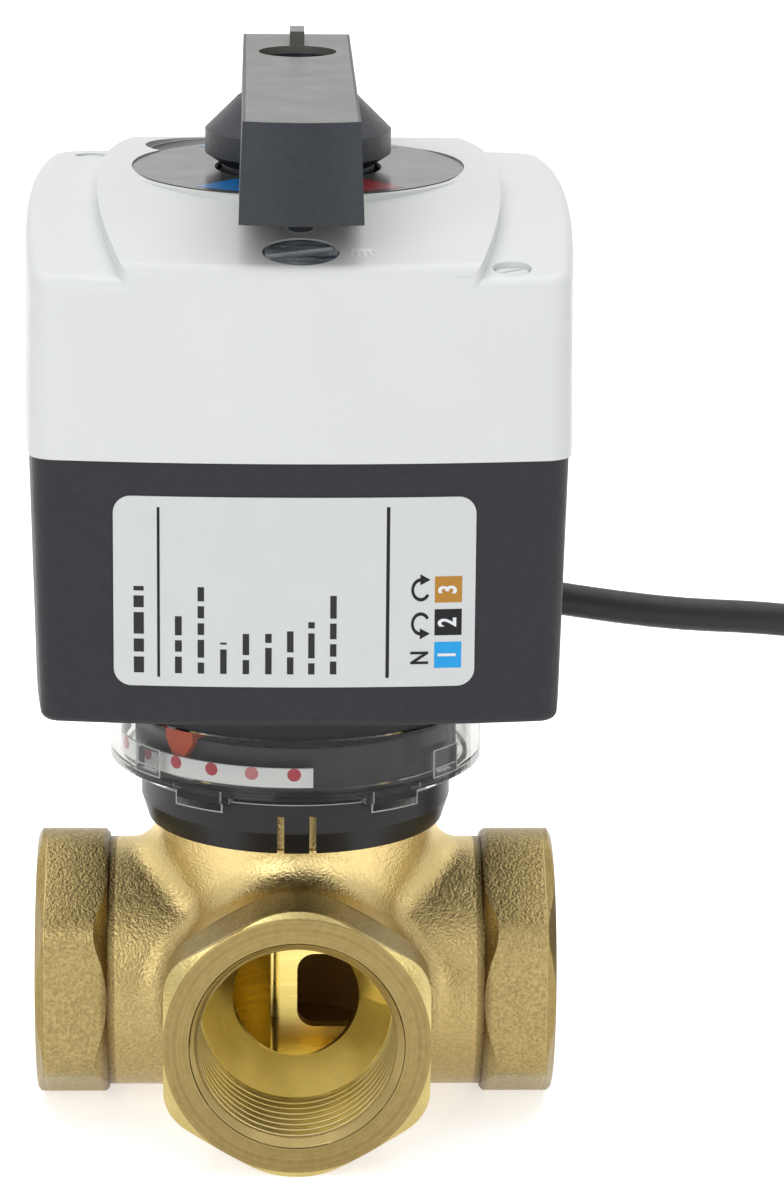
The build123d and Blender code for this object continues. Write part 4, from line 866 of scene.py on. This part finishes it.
def ring_skirt():
    """Lower wall of the ring with its four tabs, the tongues in its windows, and painted glints along its
    edges.
    """
    walls, wall_faces, verts, faces = [], [], [], []
    tongues, tongue_faces = [], []
    inner = SKIRT_R - SKIRT_T
    arc_wall(walls, wall_faces, 0.0, 360.0, SKIRT_LOW, SKIRT_TOP, inner, SKIRT_R)
    arc_patch(verts, faces, 0.0, 360.0, SKIRT_LOW, SKIRT_LOW + LINE * 0.7, SKIRT_R + 0.03)
    for centre in CLIPS:
        start, end = centre - TAB_HALF, centre + TAB_HALF
        arc_wall(walls, wall_faces, start, end, TAB_LOW, SKIRT_LOW, inner, SKIRT_R)
        arc_patch(verts, faces, start, end, TAB_LOW, TAB_LOW + LINE, SKIRT_R + 0.04)
        for side in (start, end - LINE_DEG):
            arc_patch(verts, faces, side, side + LINE_DEG, TAB_LOW, SKIRT_TOP, SKIRT_R + 0.04)
    for centre in WINDOWS:
        start, end = centre - WINDOW_HALF, centre + WINDOW_HALF
        low, top = WINDOW_LOW, WINDOW_TOP
        for z in (low, top - LINE):
            arc_patch(verts, faces, start, end, z, z + LINE, RING_R)
        for side in (start, end - LINE_DEG):
            arc_patch(verts, faces, side, side + LINE_DEG, low, top, RING_R)
        bar = low + 1.4
        arc_patch(verts, faces, start + 2 * LINE_DEG, end - 2 * LINE_DEG, bar, bar + LINE, RING_R)
        arc_patch(
            tongues, tongue_faces, start + LINE_DEG, end - LINE_DEG, low + LINE, top - LINE, RING_R - 0.02)
    mesh_piece("ring_skirt", walls, wall_faces, "clear", "valve")
    mesh_piece("ring_glint_edges", verts, faces, "glint", "valve", True)
    mesh_piece("ring_tongues", tongues, tongue_faces, "tongue", "valve", True)


ring_skirt()


# ---------------------------------------------------------------- dark sleeve inside the clear ring
SLEEVE_R, SLEEVE_ENDS = 25.5, (33.0, 43.0)


def sleeve():
    """Open black tube behind the pointer, which the clear ring is seen against."""
    verts, faces = [], []
    steps = 96
    for step in range(steps):
        for z in SLEEVE_ENDS:
            verts.append(at(*polar(SLEEVE_R, 360 * step / steps), z))
    for step in range(steps):
        a, b = 2 * step, 2 * ((step + 1) % steps)
        faces.append((a, b, b + 1, a + 1))
    mesh_piece("ring_sleeve", verts, faces, "black", "valve", True)


sleeve()


# ---------------------------------------------------------------- scale band print
DOT_R, DOT_Z = 1.05, 39.5
BAND_PRINT_R = 27.76         # just off the band's face
DOT_ARC_R = 27.8             # radius on which the width of a dot is measured


def band_dots(name, angles, look):
    """Row of round setting dots on the scale band, at polar angles."""
    verts, faces = [], []
    steps = 20
    for angle in angles:
        start = len(verts)
        for step in range(steps):
            turn = 2 * math.pi * step / steps
            shift = math.degrees(DOT_R * math.cos(turn) / DOT_ARC_R)
            verts.append(at(*polar(BAND_PRINT_R, angle + shift), DOT_Z + DOT_R * math.sin(turn)))
        faces.append(tuple(range(start, start + steps)))
    mesh_piece(name, verts, faces, look, "valve")


band_dots("band_dots", (-91, -118, -131.5, -145, -158.5, -172), "crimson")
band_dots("band_dot_pale", (-104.5,), "pink")


# ---------------------------------------------------------------- light, floor and world
FLOOR_HALF = 4.0             # metres
FLOOR_GLOW = 0.6
SKY_LIGHT = 0.45


def area_light(name, place, target, size, power):
    """Square lamp aimed at a point, in metres and watts."""
    data = bpy.data.lights.new(name, "AREA")
    data.shape = "RECTANGLE"
    data.size, data.size_y = size, size
    data.energy = power
    lamp = bpy.data.objects.new(name, data)
    lamp.location = place
    aim = Vector(target) - Vector(place)
    lamp.rotation_euler = aim.to_track_quat("-Z", "Y").to_euler()
    scene.collection.objects.link(lamp)


def seen_rays(tree):
    """One for rays from the camera and for mirrored and refracted ones, nought for the lighting."""
    path = tree.nodes.new("ShaderNodeLightPath")
    seen = path.outputs["Is Camera Ray"]
    for name in ("Is Glossy Ray", "Is Transmission Ray"):
        either = tree.nodes.new("ShaderNodeMath")
        either.operation = "MAXIMUM"
        tree.links.new(seen, either.inputs[0])
        tree.links.new(path.outputs[name], either.inputs[1])
        seen = either.outputs[0]
    return seen


def scaled(tree, factor, low, high):
    """Factor from nought to one mapped between two values."""
    node = tree.nodes.new("ShaderNodeMapRange")
    node.inputs["To Min"].default_value = low
    node.inputs["To Max"].default_value = high
    tree.links.new(factor, node.inputs["Value"])
    return node.outputs["Result"]


def make_floor():
    """Pale floor that keeps the shadow and runs into the white behind it."""
    data = bpy.data.meshes.new("floor")
    corners = [(x * FLOOR_HALF, y * FLOOR_HALF, 0) for x, y in ((-1, -1), (1, -1), (1, 1), (-1, 1))]
    data.from_pydata(corners, [], [(0, 1, 2, 3)])
    floor = bpy.data.objects.new("floor", data)
    made = material(
        "floor_white", (0.9, 0.9, 0.9), 0.8, Specular_IOR_Level=0.0, Emission_Color=(1.0, 1.0, 1.0, 1.0))
    cloud = noise(made, 3.0, 2.0)
    to_shader(made, mix(made, cloud, (0.89, 0.89, 0.89), (0.91, 0.91, 0.91)), "Base Color")
    to_shader(made, scaled(made.node_tree, seen_rays(made.node_tree), 0.0, FLOOR_GLOW), "Emission Strength")
    data.materials.append(made)
    scene.collection.objects.link(floor)


def make_world():
    """White behind and above; mirrored from the front it is the dim side of the studio."""
    world = bpy.data.worlds.new("studio")
    scene.world = world
    world.use_nodes = True
    tree = world.node_tree
    path = tree.nodes.new("ShaderNodeLightPath")
    direction = tree.nodes.new("ShaderNodeTexCoord")
    parts = tree.nodes.new("ShaderNodeSeparateXYZ")
    tree.links.new(direction.outputs["Generated"], parts.inputs[0])
    upward = tree.nodes.new("ShaderNodeMath")
    upward.operation = "MULTIPLY_ADD"
    upward.inputs[1].default_value = 0.9
    tree.links.new(parts.outputs["Z"], upward.inputs[0])
    tree.links.new(parts.outputs["Y"], upward.inputs[2])
    dim = tree.nodes.new("ShaderNodeMapRange")
    for name, value in (("From Min", -0.9), ("From Max", 0.0), ("To Min", 0.35), ("To Max", 1.0)):
        dim.inputs[name].default_value = value
    tree.links.new(upward.outputs[0], dim.inputs["Value"])
    mirrored = tree.nodes.new("ShaderNodeMix")
    tree.links.new(path.outputs["Is Glossy Ray"], mirrored.inputs["Factor"])
    mirrored.inputs[2].default_value = 1.0
    tree.links.new(dim.outputs["Result"], mirrored.inputs[3])
    strength = tree.nodes.new("ShaderNodeMix")
    tree.links.new(seen_rays(tree), strength.inputs["Factor"])
    strength.inputs[2].default_value = SKY_LIGHT
    tree.links.new(mirrored.outputs[0], strength.inputs[3])
    background = tree.nodes["Background"]
    tree.links.new(strength.outputs[0], background.inputs["Strength"])
    background.inputs["Color"].default_value = (1.0, 1.0, 1.0, 1.0)


make_floor()
make_world()
area_light("key", (-0.6, -1.15, 0.6), (0, 0, 0.06), 0.7, 5.6)
area_light("fill", (0.75, -1.05, 0.35), (0, 0, 0.06), 0.6, 2.2)
area_light("top", (0.0, 0.5, 2.2), (0, 0.2, 0.0), 3.0, 38.0)

scene.view_settings.view_transform = "Standard"
